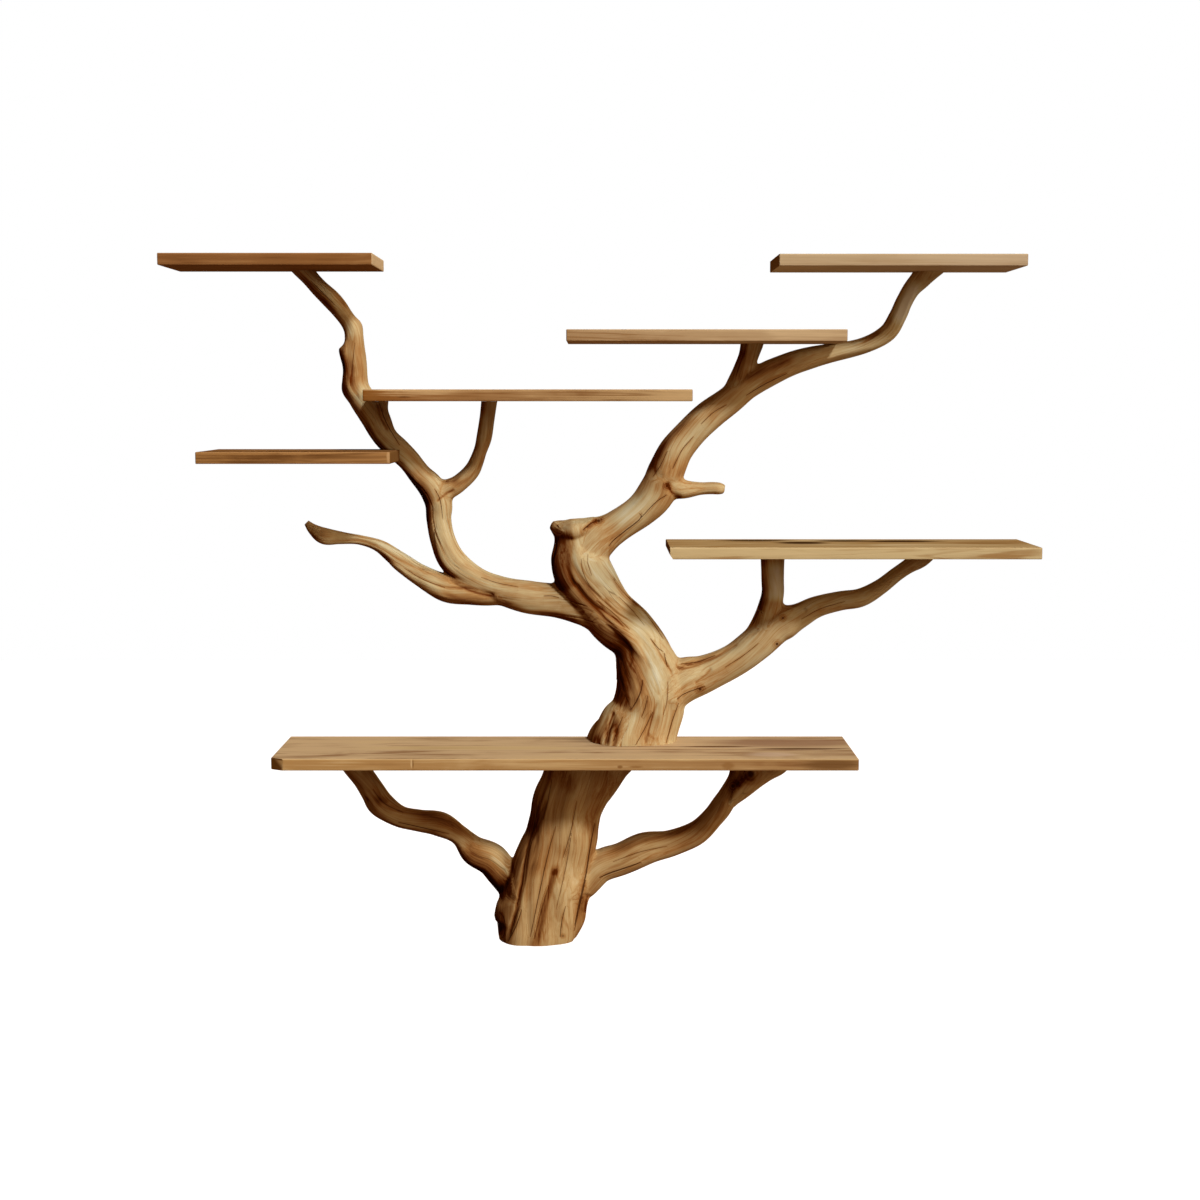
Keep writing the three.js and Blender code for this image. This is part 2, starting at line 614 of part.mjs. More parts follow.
function plateRecess({ x, z }) {
  const inner = -plate.inset - plate.thickness;
  const half = keyhole.headWidth / 2 + keyhole.pocketMargin;
  const seat = block(
    new THREE.Vector3(x - plate.width / 2 - seatGap, inner - seatGap, z - plate.length / 2 - seatGap),
    new THREE.Vector3(x + plate.width / 2 + seatGap, cutOverrun, z + plate.length / 2 + seatGap));
  const pocket = block(
    new THREE.Vector3(x - half, inner - keyhole.pocketDepth, z - keyhole.slotLength / 2 - half),
    new THREE.Vector3(x + half, 0, z + keyhole.slotLength / 2 + half));
  return [pocket, ...plateScrews({ x, z }, screwClearance)].reduce((all, cut) => all.add(cut), seat);
}

// Limbs.
function trunkBasePiece() {
  const solid = loft(trunkBase, 0, 1)
    .add(loft(leftBrace, 0, leftBraceJointShare))
    .add(loft(rightBrace, 0, rightBraceJointShare))
    .subtract(below(0))
    .subtract(above(underside(bottomBoard) - seatGap));
  return fitted(solid, 'left_brace_dowel', 'right_brace_dowel', 'trunk_dowel_back', 'trunk_dowel_front');
}

function trunkUpperPiece() {
  const solid = loft(trunkUpper, 0, 1)
    .add(loft(leftLimb, 0, leftLimbJointShare))
    .add(loft(rightLimb, 0, rightLimbJointShare))
    .add(loft(rightArm, 0, rightArmJointShare))
    .subtract(below(bottomBoard.top + seatGap))
    .subtract(plateRecess(platePlaces.trunk));
  return fitted(solid, 'left_limb_dowel', 'right_limb_dowel', 'right_arm_dowel',
    'trunk_dowel_back', 'trunk_dowel_front');
}

function leftLimbLowerPiece() {
  const solid = loft(leftLimb, pastGap(leftLimb, leftLimbJointShare), leftBendJointShare)
    .add(loft(freeArm, 0, freeArmJointShare));
  return fitted(solid, 'left_limb_dowel', 'left_bend_dowel', 'free_arm_dowel');
}

function leftLimbMiddlePiece() {
  const fork = loft(shelf3Fork, 0, 1).subtract(above(underside(middleLeftBoard) - seatGap));
  const solid = loft(leftLimb, pastGap(leftLimb, leftBendJointShare), leftTopJointShare)
    .add(loft(shelf3Twig, 0, shelf3TwigJointShare))
    .add(fork)
    .subtract(plateRecess(platePlaces.left));
  return fitted(solid, 'left_bend_dowel', 'left_top_dowel', 'shelf3_twig_dowel',
    'pin_left_lower', 'pin_middle_left_fork');
}

function leftLimbTopPiece() {
  const solid = loft(leftLimb, pastGap(leftLimb, leftTopJointShare), 1)
    .subtract(above(underside(topLeftBoard) - seatGap));
  return fitted(solid, 'left_top_dowel', 'pin_top_left');
}

function rightLimbLowerPiece() {
  const solid = loft(rightLimb, pastGap(rightLimb, rightLimbJointShare), rightMiddleJointShare)
    .add(loft(peg, 0, 1))
    .subtract(plateRecess(platePlaces.right));
  return fitted(solid, 'right_limb_dowel', 'right_middle_dowel');
}

const rightMiddleRun = [rightLimb, pastGap(rightLimb, rightMiddleJointShare), rightTopJointShare];
function rightLimbMiddlePiece() {
  return fitted(loft(...rightMiddleRun), 'right_middle_dowel', 'right_top_dowel', 'shelf4_post_dowel');
}

function rightLimbTopPiece() {
  const solid = loft(rightLimb, pastGap(rightLimb, rightTopJointShare), 1)
    .subtract(above(underside(topRightBoard) - seatGap));
  return fitted(solid, 'right_top_dowel', 'pin_upper_middle_seat', 'pin_top_right');
}

const rightArmRun = [rightArm, pastGap(rightArm, rightArmJointShare), rightArmTipJointShare];
function rightArmLowerPiece() {
  return fitted(loft(...rightArmRun), 'right_arm_dowel', 'right_arm_tip_dowel', 'shelf6_post_dowel');
}

// An end that carries a board is sawn level under it.
function tipPiece(limb, jointShare, board, ...dowelNames) {
  const solid = loft(limb, pastGap(limb, jointShare), 1).subtract(above(underside(board) - seatGap));
  return fitted(solid, ...dowelNames);
}

// A post is scribed to the round of the limb piece that it stands on.
function scribedPost(post, [limb, fromShare, toShare], board, ...dowelNames) {
  const solid = loft(post, 0, 1)
    .subtract(loft(limb, fromShare, toShare, jointGap))
    .subtract(above(underside(board) - seatGap));
  return fitted(solid, ...dowelNames);
}

addPiece('trunk_base', trunkBasePiece(), lowerLimbLook);
addPiece('trunk_upper', trunkUpperPiece(), limbLook);
addPiece('left_brace', tipPiece(
  leftBrace, leftBraceJointShare, bottomBoard, 'left_brace_dowel', 'pin_bottom_left'), lowerLimbLook);
addPiece('right_brace', tipPiece(
  rightBrace, rightBraceJointShare, bottomBoard, 'right_brace_dowel', 'pin_bottom_right'), lowerLimbLook);
addPiece('left_limb_lower', leftLimbLowerPiece(), limbLook);
addPiece('left_limb_middle', leftLimbMiddlePiece(), limbLook);
addPiece('left_limb_top', leftLimbTopPiece(), limbLook);
addPiece('free_arm', fitted(
  loft(freeArm, pastGap(freeArm, freeArmJointShare), 1), 'free_arm_dowel'), limbLook);
addPiece('shelf3_twig', tipPiece(
  shelf3Twig, shelf3TwigJointShare, middleLeftBoard, 'shelf3_twig_dowel', 'pin_middle_left_twig'), limbLook);
addPiece('right_limb_lower', rightLimbLowerPiece(), limbLook);
addPiece('right_limb_middle', rightLimbMiddlePiece(), limbLook);
addPiece('right_limb_top', rightLimbTopPiece(), limbLook);
addPiece('shelf4_post', scribedPost(
  shelf4Post, rightMiddleRun, upperMiddleBoard, 'shelf4_post_dowel', 'pin_upper_middle_post'), limbLook);
addPiece('right_arm_lower', rightArmLowerPiece(), limbLook);
addPiece('right_arm_tip', tipPiece(
  rightArm, rightArmTipJointShare, middleRightBoard, 'right_arm_tip_dowel', 'pin_middle_right_tip'), limbLook);
addPiece('shelf6_post', scribedPost(
  shelf6Post, rightArmRun, middleRightBoard, 'shelf6_post_dowel', 'pin_middle_right_post'), limbLook);

// Boards, square at the corners but for the bottom one's front left.
const noCut = { along: 0, deep: 0 };
function boardSolid({ left, length, depth, top }, cornerCut = noCut) {
  const outline = new THREE.Shape();
  outline.moveTo(left, 0);
  outline.lineTo(left, cornerCut.deep - depth);
  if (cornerCut.along > 0) outline.lineTo(left + cornerCut.along, -depth);
  outline.lineTo(left + length, -depth);
  outline.lineTo(left + length, 0);
  outline.closePath();
  const geometry = new THREE.ExtrudeGeometry(outline, { depth: boardThickness, bevelEnabled: false });
  geometry.translate(0, 0, top - boardThickness);
  return solidOf(geometry);
}

addPiece('shelf_top_left', bored(boardSolid(topLeftBoard), 'pin_top_left'), brownBoardLook);
addPiece('shelf_left_lower', bored(boardSolid(leftLowerBoard), 'pin_left_lower'), brownBoardLook);
addPiece('shelf_middle_left', bored(
  boardSolid(middleLeftBoard), 'pin_middle_left_fork', 'pin_middle_left_twig'), paleBoardLook);
addPiece('shelf_upper_middle', bored(
  boardSolid(upperMiddleBoard), 'pin_upper_middle_post', 'pin_upper_middle_seat'), paleBoardLook);
addPiece('shelf_top_right', bored(boardSolid(topRightBoard), 'pin_top_right'), paleBoardLook);
addPiece('shelf_middle_right', bored(
  boardSolid(middleRightBoard), 'pin_middle_right_post', 'pin_middle_right_tip'), paleBoardLook);
addPiece('shelf_bottom', bored(
  boardSolid(bottomBoard, bottomCornerCut), 'pin_bottom_left', 'pin_bottom_right',
  'trunk_dowel_back', 'trunk_dowel_front'), paleBoardLook);

// Dowels, pins, plates and screws.
for (const [name, dowel] of Object.entries(dowels)) addPiece(name, pinSolid(dowel), dowelLook);
for (const [name, place] of Object.entries(platePlaces)) {
  addPiece(`hanging_plate_${name}`, plateSolid(place), steelLook);
  plateScrews(place, 0).forEach((screw, index) => {
    addPiece(`plate_screw_${name}_${index + 1}`, screw, steelLook);
  });
}

export default tree;
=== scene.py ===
import math

import bmesh
import bpy
import numpy as np
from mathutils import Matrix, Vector


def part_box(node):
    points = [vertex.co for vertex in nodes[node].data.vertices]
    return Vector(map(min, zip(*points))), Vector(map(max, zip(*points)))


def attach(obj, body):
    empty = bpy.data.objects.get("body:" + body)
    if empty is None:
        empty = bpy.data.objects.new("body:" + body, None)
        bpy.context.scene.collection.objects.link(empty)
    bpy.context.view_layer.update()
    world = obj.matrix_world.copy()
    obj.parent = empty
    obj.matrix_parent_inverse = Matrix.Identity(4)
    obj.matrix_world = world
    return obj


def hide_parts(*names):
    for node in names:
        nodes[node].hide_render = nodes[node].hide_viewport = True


# Looks of the tree shaped wall bookshelf, in metres, with the wall at y = 0 and the room at -y.
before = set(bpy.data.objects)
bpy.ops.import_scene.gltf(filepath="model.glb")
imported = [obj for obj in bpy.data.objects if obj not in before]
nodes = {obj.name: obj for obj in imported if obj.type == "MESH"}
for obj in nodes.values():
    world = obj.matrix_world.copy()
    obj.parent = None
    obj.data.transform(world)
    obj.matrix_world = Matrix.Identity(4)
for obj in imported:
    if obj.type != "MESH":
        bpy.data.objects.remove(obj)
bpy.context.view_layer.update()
print("frame loaded:", len(nodes), "nodes")

# The photograph's view: side and focal length in pixels, how far the eye level lies above the middle, and
# the camera's sensor in millimetres.
picture = {"side": 1200, "focal": 1800, "eyeRise": 200, "sensor": 36}
cameraPlace = Vector((0, -4.3, 0.461))
pitch = math.atan(picture["eyeRise"] / picture["focal"])
farOff = 9.0  # further than anything reaches, in metres or radii


def pixelWay(u, v):
    right = (u - picture["side"] / 2) / picture["focal"]
    down = (v - picture["side"] / 2) / picture["focal"]
    ahead = math.cos(pitch) - down * math.sin(pitch)
    return right, ahead, -math.sin(pitch) - down * math.cos(pitch)


def fromPicture(u, v, out):
    # The place across and up, in the plane this far out from the wall, that a pixel shows.
    right, ahead, up = pixelWay(u, v)
    reach = (-out - cameraPlace.y) / ahead
    return reach * right, cameraPlace.z + reach * up, reach / picture["focal"]


def onTop(u, v, height):
    # The place at this height that a pixel shows.
    right, ahead, up = pixelWay(u, v)
    reach = (height - cameraPlace.z) / up
    return Vector((reach * right, cameraPlace.y + reach * ahead, height))


# Value noise on arrays of places, the same each run. Large odd factors stir the whole numbers.
stirring = {"across": 374761393, "deep": 668265263, "up": 2147483647, "seed": 974634777,
            "first": 1274126177, "second": 2246822519, "mask": 0xFFFFFFFF, "kept": 0xFFFFFF}


def hashed(ix, iy, iz, seed):
    mixed = (ix * stirring["across"] + iy * stirring["deep"] + iz * stirring["up"]
             + seed * stirring["seed"]) & stirring["mask"]
    mixed = ((mixed ^ (mixed >> 13)) * stirring["first"]) & stirring["mask"]
    mixed = ((mixed ^ (mixed >> 16)) * stirring["second"]) & stirring["mask"]
    return ((mixed ^ (mixed >> 15)) & stirring["kept"]) / float(stirring["kept"])


def noise(places, seed=0):
    whole = np.floor(places).astype(np.int64)
    part = places - whole
    part = part * part * (3 - 2 * part)
    total = np.zeros(len(places))
    for corner in range(8):
        bits = [(corner >> axis) & 1 for axis in range(3)]
        share = np.ones(len(places))
        for axis in range(3):
            share = share * (part[:, axis] if bits[axis] else 1 - part[:, axis])
        total += share * hashed(*(whole[:, axis] + bits[axis] for axis in range(3)), seed)
    return total * 2 - 1


def smoothstep(low, high, value):
    t = np.clip((value - low) / (high - low), 0, 1)
    return t * t * (3 - 2 * t)


runSteps = 24  # from one point of a run to the next


def smoothRun(points, spacing):
    # A Catmull-Rom run through the points, sampled evenly along its first two coordinates.
    points = np.array(points, float)
    padded = np.vstack([2 * points[0] - points[1], points, 2 * points[-1] - points[-2]])
    fine = []
    for first in range(len(points) - 1):
        a, b, c, d = padded[first:first + 4]
        for t in np.linspace(0, 1, runSteps, endpoint=False):
            fine.append(0.5 * (2 * b + (c - a) * t + (2 * a - 5 * b + 4 * c - d) * t * t
                               + (3 * b - a - 3 * c + d) * t ** 3))
    fine = np.array(fine + [points[-1]])
    steps = np.hypot(*np.diff(fine[:, :2], axis=0).T)
    reached = np.concatenate([[0], np.cumsum(steps)])
    count = max(3, int(round(reached[-1] / spacing)) + 1)
    even = np.linspace(0, reached[-1], count)
    return np.column_stack([np.interp(even, reached, column) for column in fine.T]), even


# Limbs: the middle and the width in the picture along each, at a typical distance out from the wall. A
# fourth number is the depth in metres, where it isn't worked out from the width. Most limbs that meet have
# different threads, so that the grain of one can run into the other's. A limb that lies above or below a
# board ends in the middle of that board's thickness.
limbs = {
    "trunkBase": {"out": 0.065, "thread": 0, "below": "shelf_bottom", "stations": [
        (532, 964, 62, 0.142), (534.5, 939, 72, 0.142), (538, 926, 86, 0.14), (543, 900, 86, 0.136),
        (549.5, 872, 81), (559, 845, 74), (562.5, 825, 69), (566.5, 808, 69), (575, 790.5, 69),
        (584, 773, 77), (594, 753, 82), (600, 745, 85), (612, 721, 84)]},
    "trunkUpper": {"out": 0.055, "thread": 0, "above": "shelf_bottom", "stations": [
        (633, 762, 90), (634.5, 745, 88), (638.5, 730, 80), (645, 717, 72), (649, 705, 72), (651, 690, 73),
        (646, 664, 65), (634.5, 638, 52), (608, 613, 54), (587, 584, 59), (578.5, 563, 58), (575, 542, 42),
        (574, 524, 42)]},
    "leftLimb": {"out": 0.033, "thread": 1, "below": "shelf_top_left", "stations": [
        (613, 617, 43), (585, 606, 40), (559, 600.5, 36), (529.5, 597.5, 35), (499, 590.5, 31),
        (475.5, 579.5, 26), (453.5, 562.5, 28), (442.5, 540.5, 26), (438, 520, 26), (437.5, 503, 29),
        (431, 487, 28), (419.5, 474, 23), (408.5, 460.5, 22), (397.5, 450, 24), (383.5, 436, 25),
        (373.5, 415, 30), (361.5, 398, 28), (354.5, 385.5, 27), (354.5, 370, 24), (353, 355, 23),
        (354, 338, 19), (350, 325, 17.2), (339.8, 309.7, 18), (329.8, 298.3, 19), (319, 288, 18),
        (310, 278, 17.5), (302, 268, 20), (299, 264, 21)]},
    "freeArm": {"out": 0.028, "thread": 0, "stations": [
        (515, 593, 18), (496, 595, 23), (470, 592.5, 27), (445, 589, 28), (419.5, 576, 22),
        (399.5, 561.5, 18.5), (380, 547, 12.5), (360, 540.5, 10), (340, 538, 12.5), (324, 536, 15.5),
        (312, 529.5, 11), (305, 523, 6)]},
    "shelf3Twig": {"out": 0.025, "thread": 0, "below": "shelf_middle_left", "stations": [
        (436, 498, 25), (442, 492, 23), (457.5, 484, 17), (472.5, 470, 15.5), (480, 452, 13),
        (484.3, 438, 15), (487, 420, 15), (489, 402, 16.5), (490, 395, 17)]},
    "shelf3Fork": {"out": 0.025, "thread": 0, "below": "shelf_middle_left", "stations": [
        (386, 436, 14), (381.5, 420, 11.5), (381, 402, 14), (381, 395, 15)]},
    "rightLimb": {"out": 0.033, "thread": 1, "below": "shelf_top_right", "stations": [
        (583, 553, 46), (600.5, 537, 41), (617, 526.5, 34), (640.5, 510.5, 33), (656.5, 493, 38),
        (665, 472, 36), (675, 450, 32.5), (690.5, 431.5, 30.5), (706.5, 416.5, 30), (725.5, 402.5, 28),
        (743.5, 389, 29), (765.5, 376, 26.5), (790, 365, 23), (812, 358, 21), (832, 353, 18.5),
        (865.5, 345, 17), (888, 333, 18.5), (898.5, 316.5, 18), (905, 302, 17.5), (912.5, 289, 18.5),
        (922, 278, 22), (931, 266, 28), (941, 254, 33)]},
    "peg": {"out": 0.03, "thread": 0, "stations": [
        (663, 478, 38), (671, 485, 30), (683.5, 489.5, 20), (700, 489, 13.5), (712, 488.5, 13),
        (720, 489, 12.5), (725, 490, 9)]},
    "shelf4Post": {"out": 0.03, "thread": 0, "below": "shelf_upper_middle", "stations": [
        (738, 387, 26), (744, 370, 20), (749, 356, 18.5), (752.5, 342, 21.5), (753, 337, 22)]},
    "rightArm": {"out": 0.035, "thread": 1, "below": "shelf_middle_right", "stations": [
        (648, 690, 54), (663, 690, 56), (685, 679.5, 48), (706.5, 673, 38), (734, 661, 34),
        (757.5, 643.5, 36), (775.5, 628, 36), (786, 622.5, 35), (799.5, 616.5, 26.5), (816.5, 608, 22),
        (841.5, 601.5, 19.5), (862, 598, 19), (881.5, 587.5, 15.5), (896.5, 576, 14.5), (908.5, 567.5, 15),
        (920, 560, 17), (928, 551, 19), (931, 546, 19)]},
    "shelf6Post": {"out": 0.035, "thread": 0, "below": "shelf_middle_right", "stations": [
        (766, 625, 27), (770.5, 608, 25), (773.5, 594, 24), (773.5, 580, 24), (773.5, 562, 24.5),
        (773.5, 546, 25)]},
    "leftBrace": {"out": 0.038, "thread": 1, "below": "shelf_bottom", "stations": [
        (542, 896, 30), (522, 893, 36), (503.5, 875, 35), (490.5, 860.5, 34), (473.5, 851, 28),
        (458.5, 836.5, 19), (439.5, 825.5, 24), (419, 822.5, 22), (399, 818, 22), (382, 806.5, 27),
        (373, 793.5, 25), (364, 781, 25), (354, 768, 25), (345, 752, 27), (342, 744, 28)]},
    "rightBrace": {"out": 0.038, "thread": 1, "below": "shelf_bottom", "stations": [
        (543, 892, 38), (558, 891, 40), (578, 884.5, 35), (598, 867, 34), (620.5, 860, 34),
        (645, 850.5, 33), (670.5, 845, 26), (696, 834.5, 24), (713, 819, 21.5), (724, 805.5, 23),
        (731, 792, 19), (738.5, 779, 20), (741.5, 765, 23), (741, 752, 25), (741, 744, 25)]},
    "rightBraceToe": {"out": 0.038, "thread": 1, "below": "shelf_bottom", "stations": [
        (728, 802, 19), (743, 784, 30), (760, 767, 36), (770, 755, 45), (772, 744, 46)]},
    "trunkLobe": {"out": 0.05, "thread": 1, "above": "shelf_bottom", "stations": [
        (620, 711, 7), (611.5, 720, 13), (603, 730, 20), (598.5, 741, 24), (597, 757, 26)]},
    "frontRidge": {"out": 0.08, "thread": 1, "stations": [
        (540, 600.5, 26, 0.06), (566, 603, 30, 0.07), (590, 608, 29, 0.085), (611, 619, 24, 0.094),
        (629, 637, 21, 0.099), (643, 658, 19, 0.101), (652, 680, 15, 0.099), (656, 698, 9, 0.094)]},
    "knobHorn": {"out": 0.06, "thread": 0, "stations": [
        (597, 524, 13, 0.072), (585, 527.5, 19, 0.082), (574, 530.5, 24, 0.087), (564, 531, 23, 0.08),
        (556, 528, 16, 0.062), (550.5, 526, 9, 0.046)]},
    "post6Heel": {"out": 0.035, "thread": 0, "stations": [
        (742, 648, 10), (750, 637, 13), (758, 626, 16), (763.5, 612, 14), (766.5, 600, 11)]},
    "leftSpur": {"out": 0.03, "thread": 0, "stations": [
        (348, 378, 8), (346, 362, 12), (344.7, 353, 14.5), (344, 347, 15)]},
    "leftBulge": {"out": 0.03, "thread": 0, "stations": [
        (353, 377, 14), (348.5, 384, 15), (348.5, 390, 15), (354, 398, 14)]},
    "leftShoulder": {"out": 0.03, "thread": 0, "stations": [
        (349, 318, 11), (356.5, 326, 11.5), (358, 340, 10.5), (360.5, 360, 12), (361.5, 388, 14)]},
}
limbForm = {
    "ringStep": 0.006, "sides": 40, "sectionStep": 0.05,  # how finely a limb is lofted
    "behindWall": 0.008,  # how far behind the wall it begins, before it is cut flat
    "depthShare": 0.49, "backing": 0.03, "backingShare": 0.8,  # its depth: a share of its width, and more
    "swell": 0.05, "swellLong": 0.07,  # share by which a section swells, and over what length
    "swellRound": 0.9, "swellShift": 5,  # radius and middle of the section's ring in the noise
    "middleOut": 0.4,  # share of the depth at which the grain's core lies
    "twist": 2.6,  # turns of the grain's angle, in radians for each metre
    "grainShift": 3,  # from one limb's grain to the next limb's
    "threadBlend": 0.02,  # width in which one limb's grain gives way to another's
}
# Half of a limb's section, from behind the planed back to the crown: across and out from the wall.
halfSection = [(0.5, -1), (0.6, 0), (0.9, 0.12), (1, 0.36), (0.93, 0.62), (0.72, 0.84), (0.4, 0.965), (0, 1)]


def depthFor(width):
    return limbForm["depthShare"] * width + min(limbForm["backing"], limbForm["backingShare"] * width)


def limbLine(limb):
    # Middle (across, up), width and depth along a limb, with its direction and its length so far.
    rows = []
    for u, v, width, *given in limb["stations"]:
        x, z, scale = fromPicture(u, v, limb["out"])
        rows.append((x, z, width * scale, given[0] if given else depthFor(width * scale)))
    run, reached = smoothRun(rows, limbForm["ringStep"])
    ahead = np.gradient(run[:, :2], axis=0)
    ahead /= np.linalg.norm(ahead, axis=1)[:, None]
    line = {"middle": run[:, :2], "ahead": ahead, "half": run[:, 2] / 2, "depth": run[:, 3],
            "reached": reached}
    for side in ("above", "below"):
        if side in limb:
            line[side] = (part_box(limb[side])[0].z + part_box(limb[side])[1].z) / 2
    return line


lines = {name: limbLine(limb) for name, limb in limbs.items()}


def sectionOutline():
    shares, _ = smoothRun(halfSection, limbForm["sectionStep"])
    even = np.linspace(0, len(shares) - 1, limbForm["sides"] // 2).round().astype(int)
    right = shares[even]
    left = right[:-1][::-1] * (-1, 1)
    return np.vstack([right, left])


def limbLoft(line, seed):
    outline = sectionOutline()
    sides = len(outline)
    rings = len(line["middle"])
    angle = np.arctan2(outline[:, 1] - limbForm["middleOut"], outline[:, 0])
    rim = np.column_stack([np.cos(angle), np.sin(angle)]) * limbForm["swellRound"] + limbForm["swellShift"]
    ahead = line["ahead"]
    acrossWay = np.column_stack([-ahead[:, 1], ahead[:, 0]])
    places = []
    for ring in range(rings):
        along = np.full(sides, line["reached"][ring] / limbForm["swellLong"])
        swelling = 1 + limbForm["swell"] * noise(np.column_stack([along, rim]), seed)
        across = outline[:, 0] * line["half"][ring] * swelling
        out = outline[:, 1] * line["depth"][ring] * swelling
        out = np.where(outline[:, 1] < 0, outline[:, 1] * limbForm["behindWall"], out)
        flat = line["middle"][ring] + across[:, None] * acrossWay[ring]
        places.append(np.column_stack([flat[:, 0], -out, flat[:, 1]]))
    places = np.vstack(places)
    places[:, 2] = places[:, 2].clip(line.get("above", -farOff), line.get("below", farOff))
    faces = [list(range(sides))[::-1], [(rings - 1) * sides + side for side in range(sides)]]
    for ring in range(rings - 1):
        for side in range(sides):
            here, following = ring * sides + side, ring * sides + (side + 1) % sides
            faces.append((here, following, following + sides, here + sides))
    return places, faces


def meshFrom(name, places, faces):
    mesh = bpy.data.meshes.new(name)
    mesh.from_pydata([tuple(place) for place in places], [], faces)
    mesh.update()
    return mesh


def linked(name, mesh):
    made = bpy.data.objects.new(name, mesh)
    bpy.context.scene.collection.objects.link(made)
    return made


def outwards(mesh):
    work = bmesh.new()
    work.from_mesh(mesh)
    bmesh.ops.recalc_face_normals(work, faces=work.faces)
    work.to_mesh(mesh)
    work.free()


def settle(made):
    # The modifiers are worked into the mesh, and are gone.
    evaluated = made.evaluated_get(bpy.context.evaluated_depsgraph_get())
    mesh = bpy.data.meshes.new_from_object(evaluated)
    made.modifiers.clear()
    made.data = mesh


def joinedLofts():
    allPlaces, allFaces, start = [], [], 0
    for index, line in enumerate(lines.values()):
        places, faces = limbLoft(line, index)
        allPlaces.append(places)
        allFaces += [[corner + start for corner in face] for face in faces]
        start += len(places)
    mesh = meshFrom("tree", np.vstack(allPlaces), allFaces)
    outwards(mesh)
    return mesh


voxel = 0.0024  # of the skin round all the limbs
tree = linked("tree", joinedLofts())
remesh = tree.modifiers.new("skin", "REMESH")
remesh.mode = "VOXEL"
remesh.voxel_size = voxel
settle(tree)
print("limbs fused:", len(tree.data.vertices), "points")


def placesOf(mesh):
    flat = np.zeros(len(mesh.vertices) * 3, np.float32)
    mesh.vertices.foreach_get("co", flat)
    return flat.reshape(-1, 3).astype(float)


def putPlaces(mesh, places):
    mesh.vertices.foreach_set("co", places.astype(np.float32).ravel())
    mesh.update()


def flows(places):
    # For each place and limb: how far outside the limb's edge it is, and its place in the limb's grain.
    flat = places[:, [0, 2]]
    margin = 0.12  # round a limb, past which a place has nothing to do with it
    coarse = 6  # every so many points of a limb are tried first, then those round the nearest
    reach = np.zeros((len(limbs), len(places)))
    grain = np.zeros((len(limbs), len(places), 3))
    for index, line in enumerate(lines.values()):
        low, high = line["middle"].min(0) - margin, line["middle"].max(0) + margin
        near = np.flatnonzero(((flat > low) & (flat < high)).all(1))
        nearest = np.zeros(len(places), int)
        best = np.full(len(near), 1e9)
        for sample in range(0, len(line["middle"]), coarse):
            apart = ((flat[near] - line["middle"][sample]) ** 2).sum(1)
            closer = apart < best
            best[closer] = apart[closer]
            nearest[near[closer]] = sample
        roughly = nearest[near]
        for step in range(1 - coarse, coarse):
            sample = np.clip(roughly + step, 0, len(line["middle"]) - 1)
            apart = ((flat[near] - line["middle"][sample]) ** 2).sum(1)
            closer = apart < best
            best[closer] = apart[closer]
            nearest[near[closer]] = sample[closer]
        offset = flat - line["middle"][nearest]
        ahead = line["ahead"][nearest]
        across = offset[:, 1] * ahead[:, 0] - offset[:, 0] * ahead[:, 1]
        along = line["reached"][nearest] + (offset * ahead).sum(1)
        up = -places[:, 1] - limbForm["middleOut"] * line["depth"][nearest]
        turn = limbForm["twist"] * along
        reach[index] = farOff
        reach[index][near] = np.sqrt(best) - line["half"][nearest[near]]
        grain[index] = np.column_stack([
            along + limbForm["grainShift"] * index,
            across * np.cos(turn) - up * np.sin(turn), across * np.sin(turn) + up * np.cos(turn)])
    return reach, grain


threads = np.array([limb["thread"] for limb in limbs.values()])


def threadFlows(places):
    # The nearest limb's grain in each thread, how far the second thread takes over, and how far off the
    # second nearest limb is.
    reach, grain = flows(places)
    chosen, gaps = [], []
    for thread in (0, 1):
        members = np.flatnonzero(threads == thread)
        pick = members[np.argmin(reach[members], axis=0)]
        chosen.append(grain[pick, np.arange(len(places))])
        gaps.append(reach[pick, np.arange(len(places))])
    blend = smoothstep(-0.5, 0.5, (gaps[0] - gaps[1]) / limbForm["threadBlend"])
    ordered = np.sort(reach, axis=0)
    return chosen, blend, ordered[1]


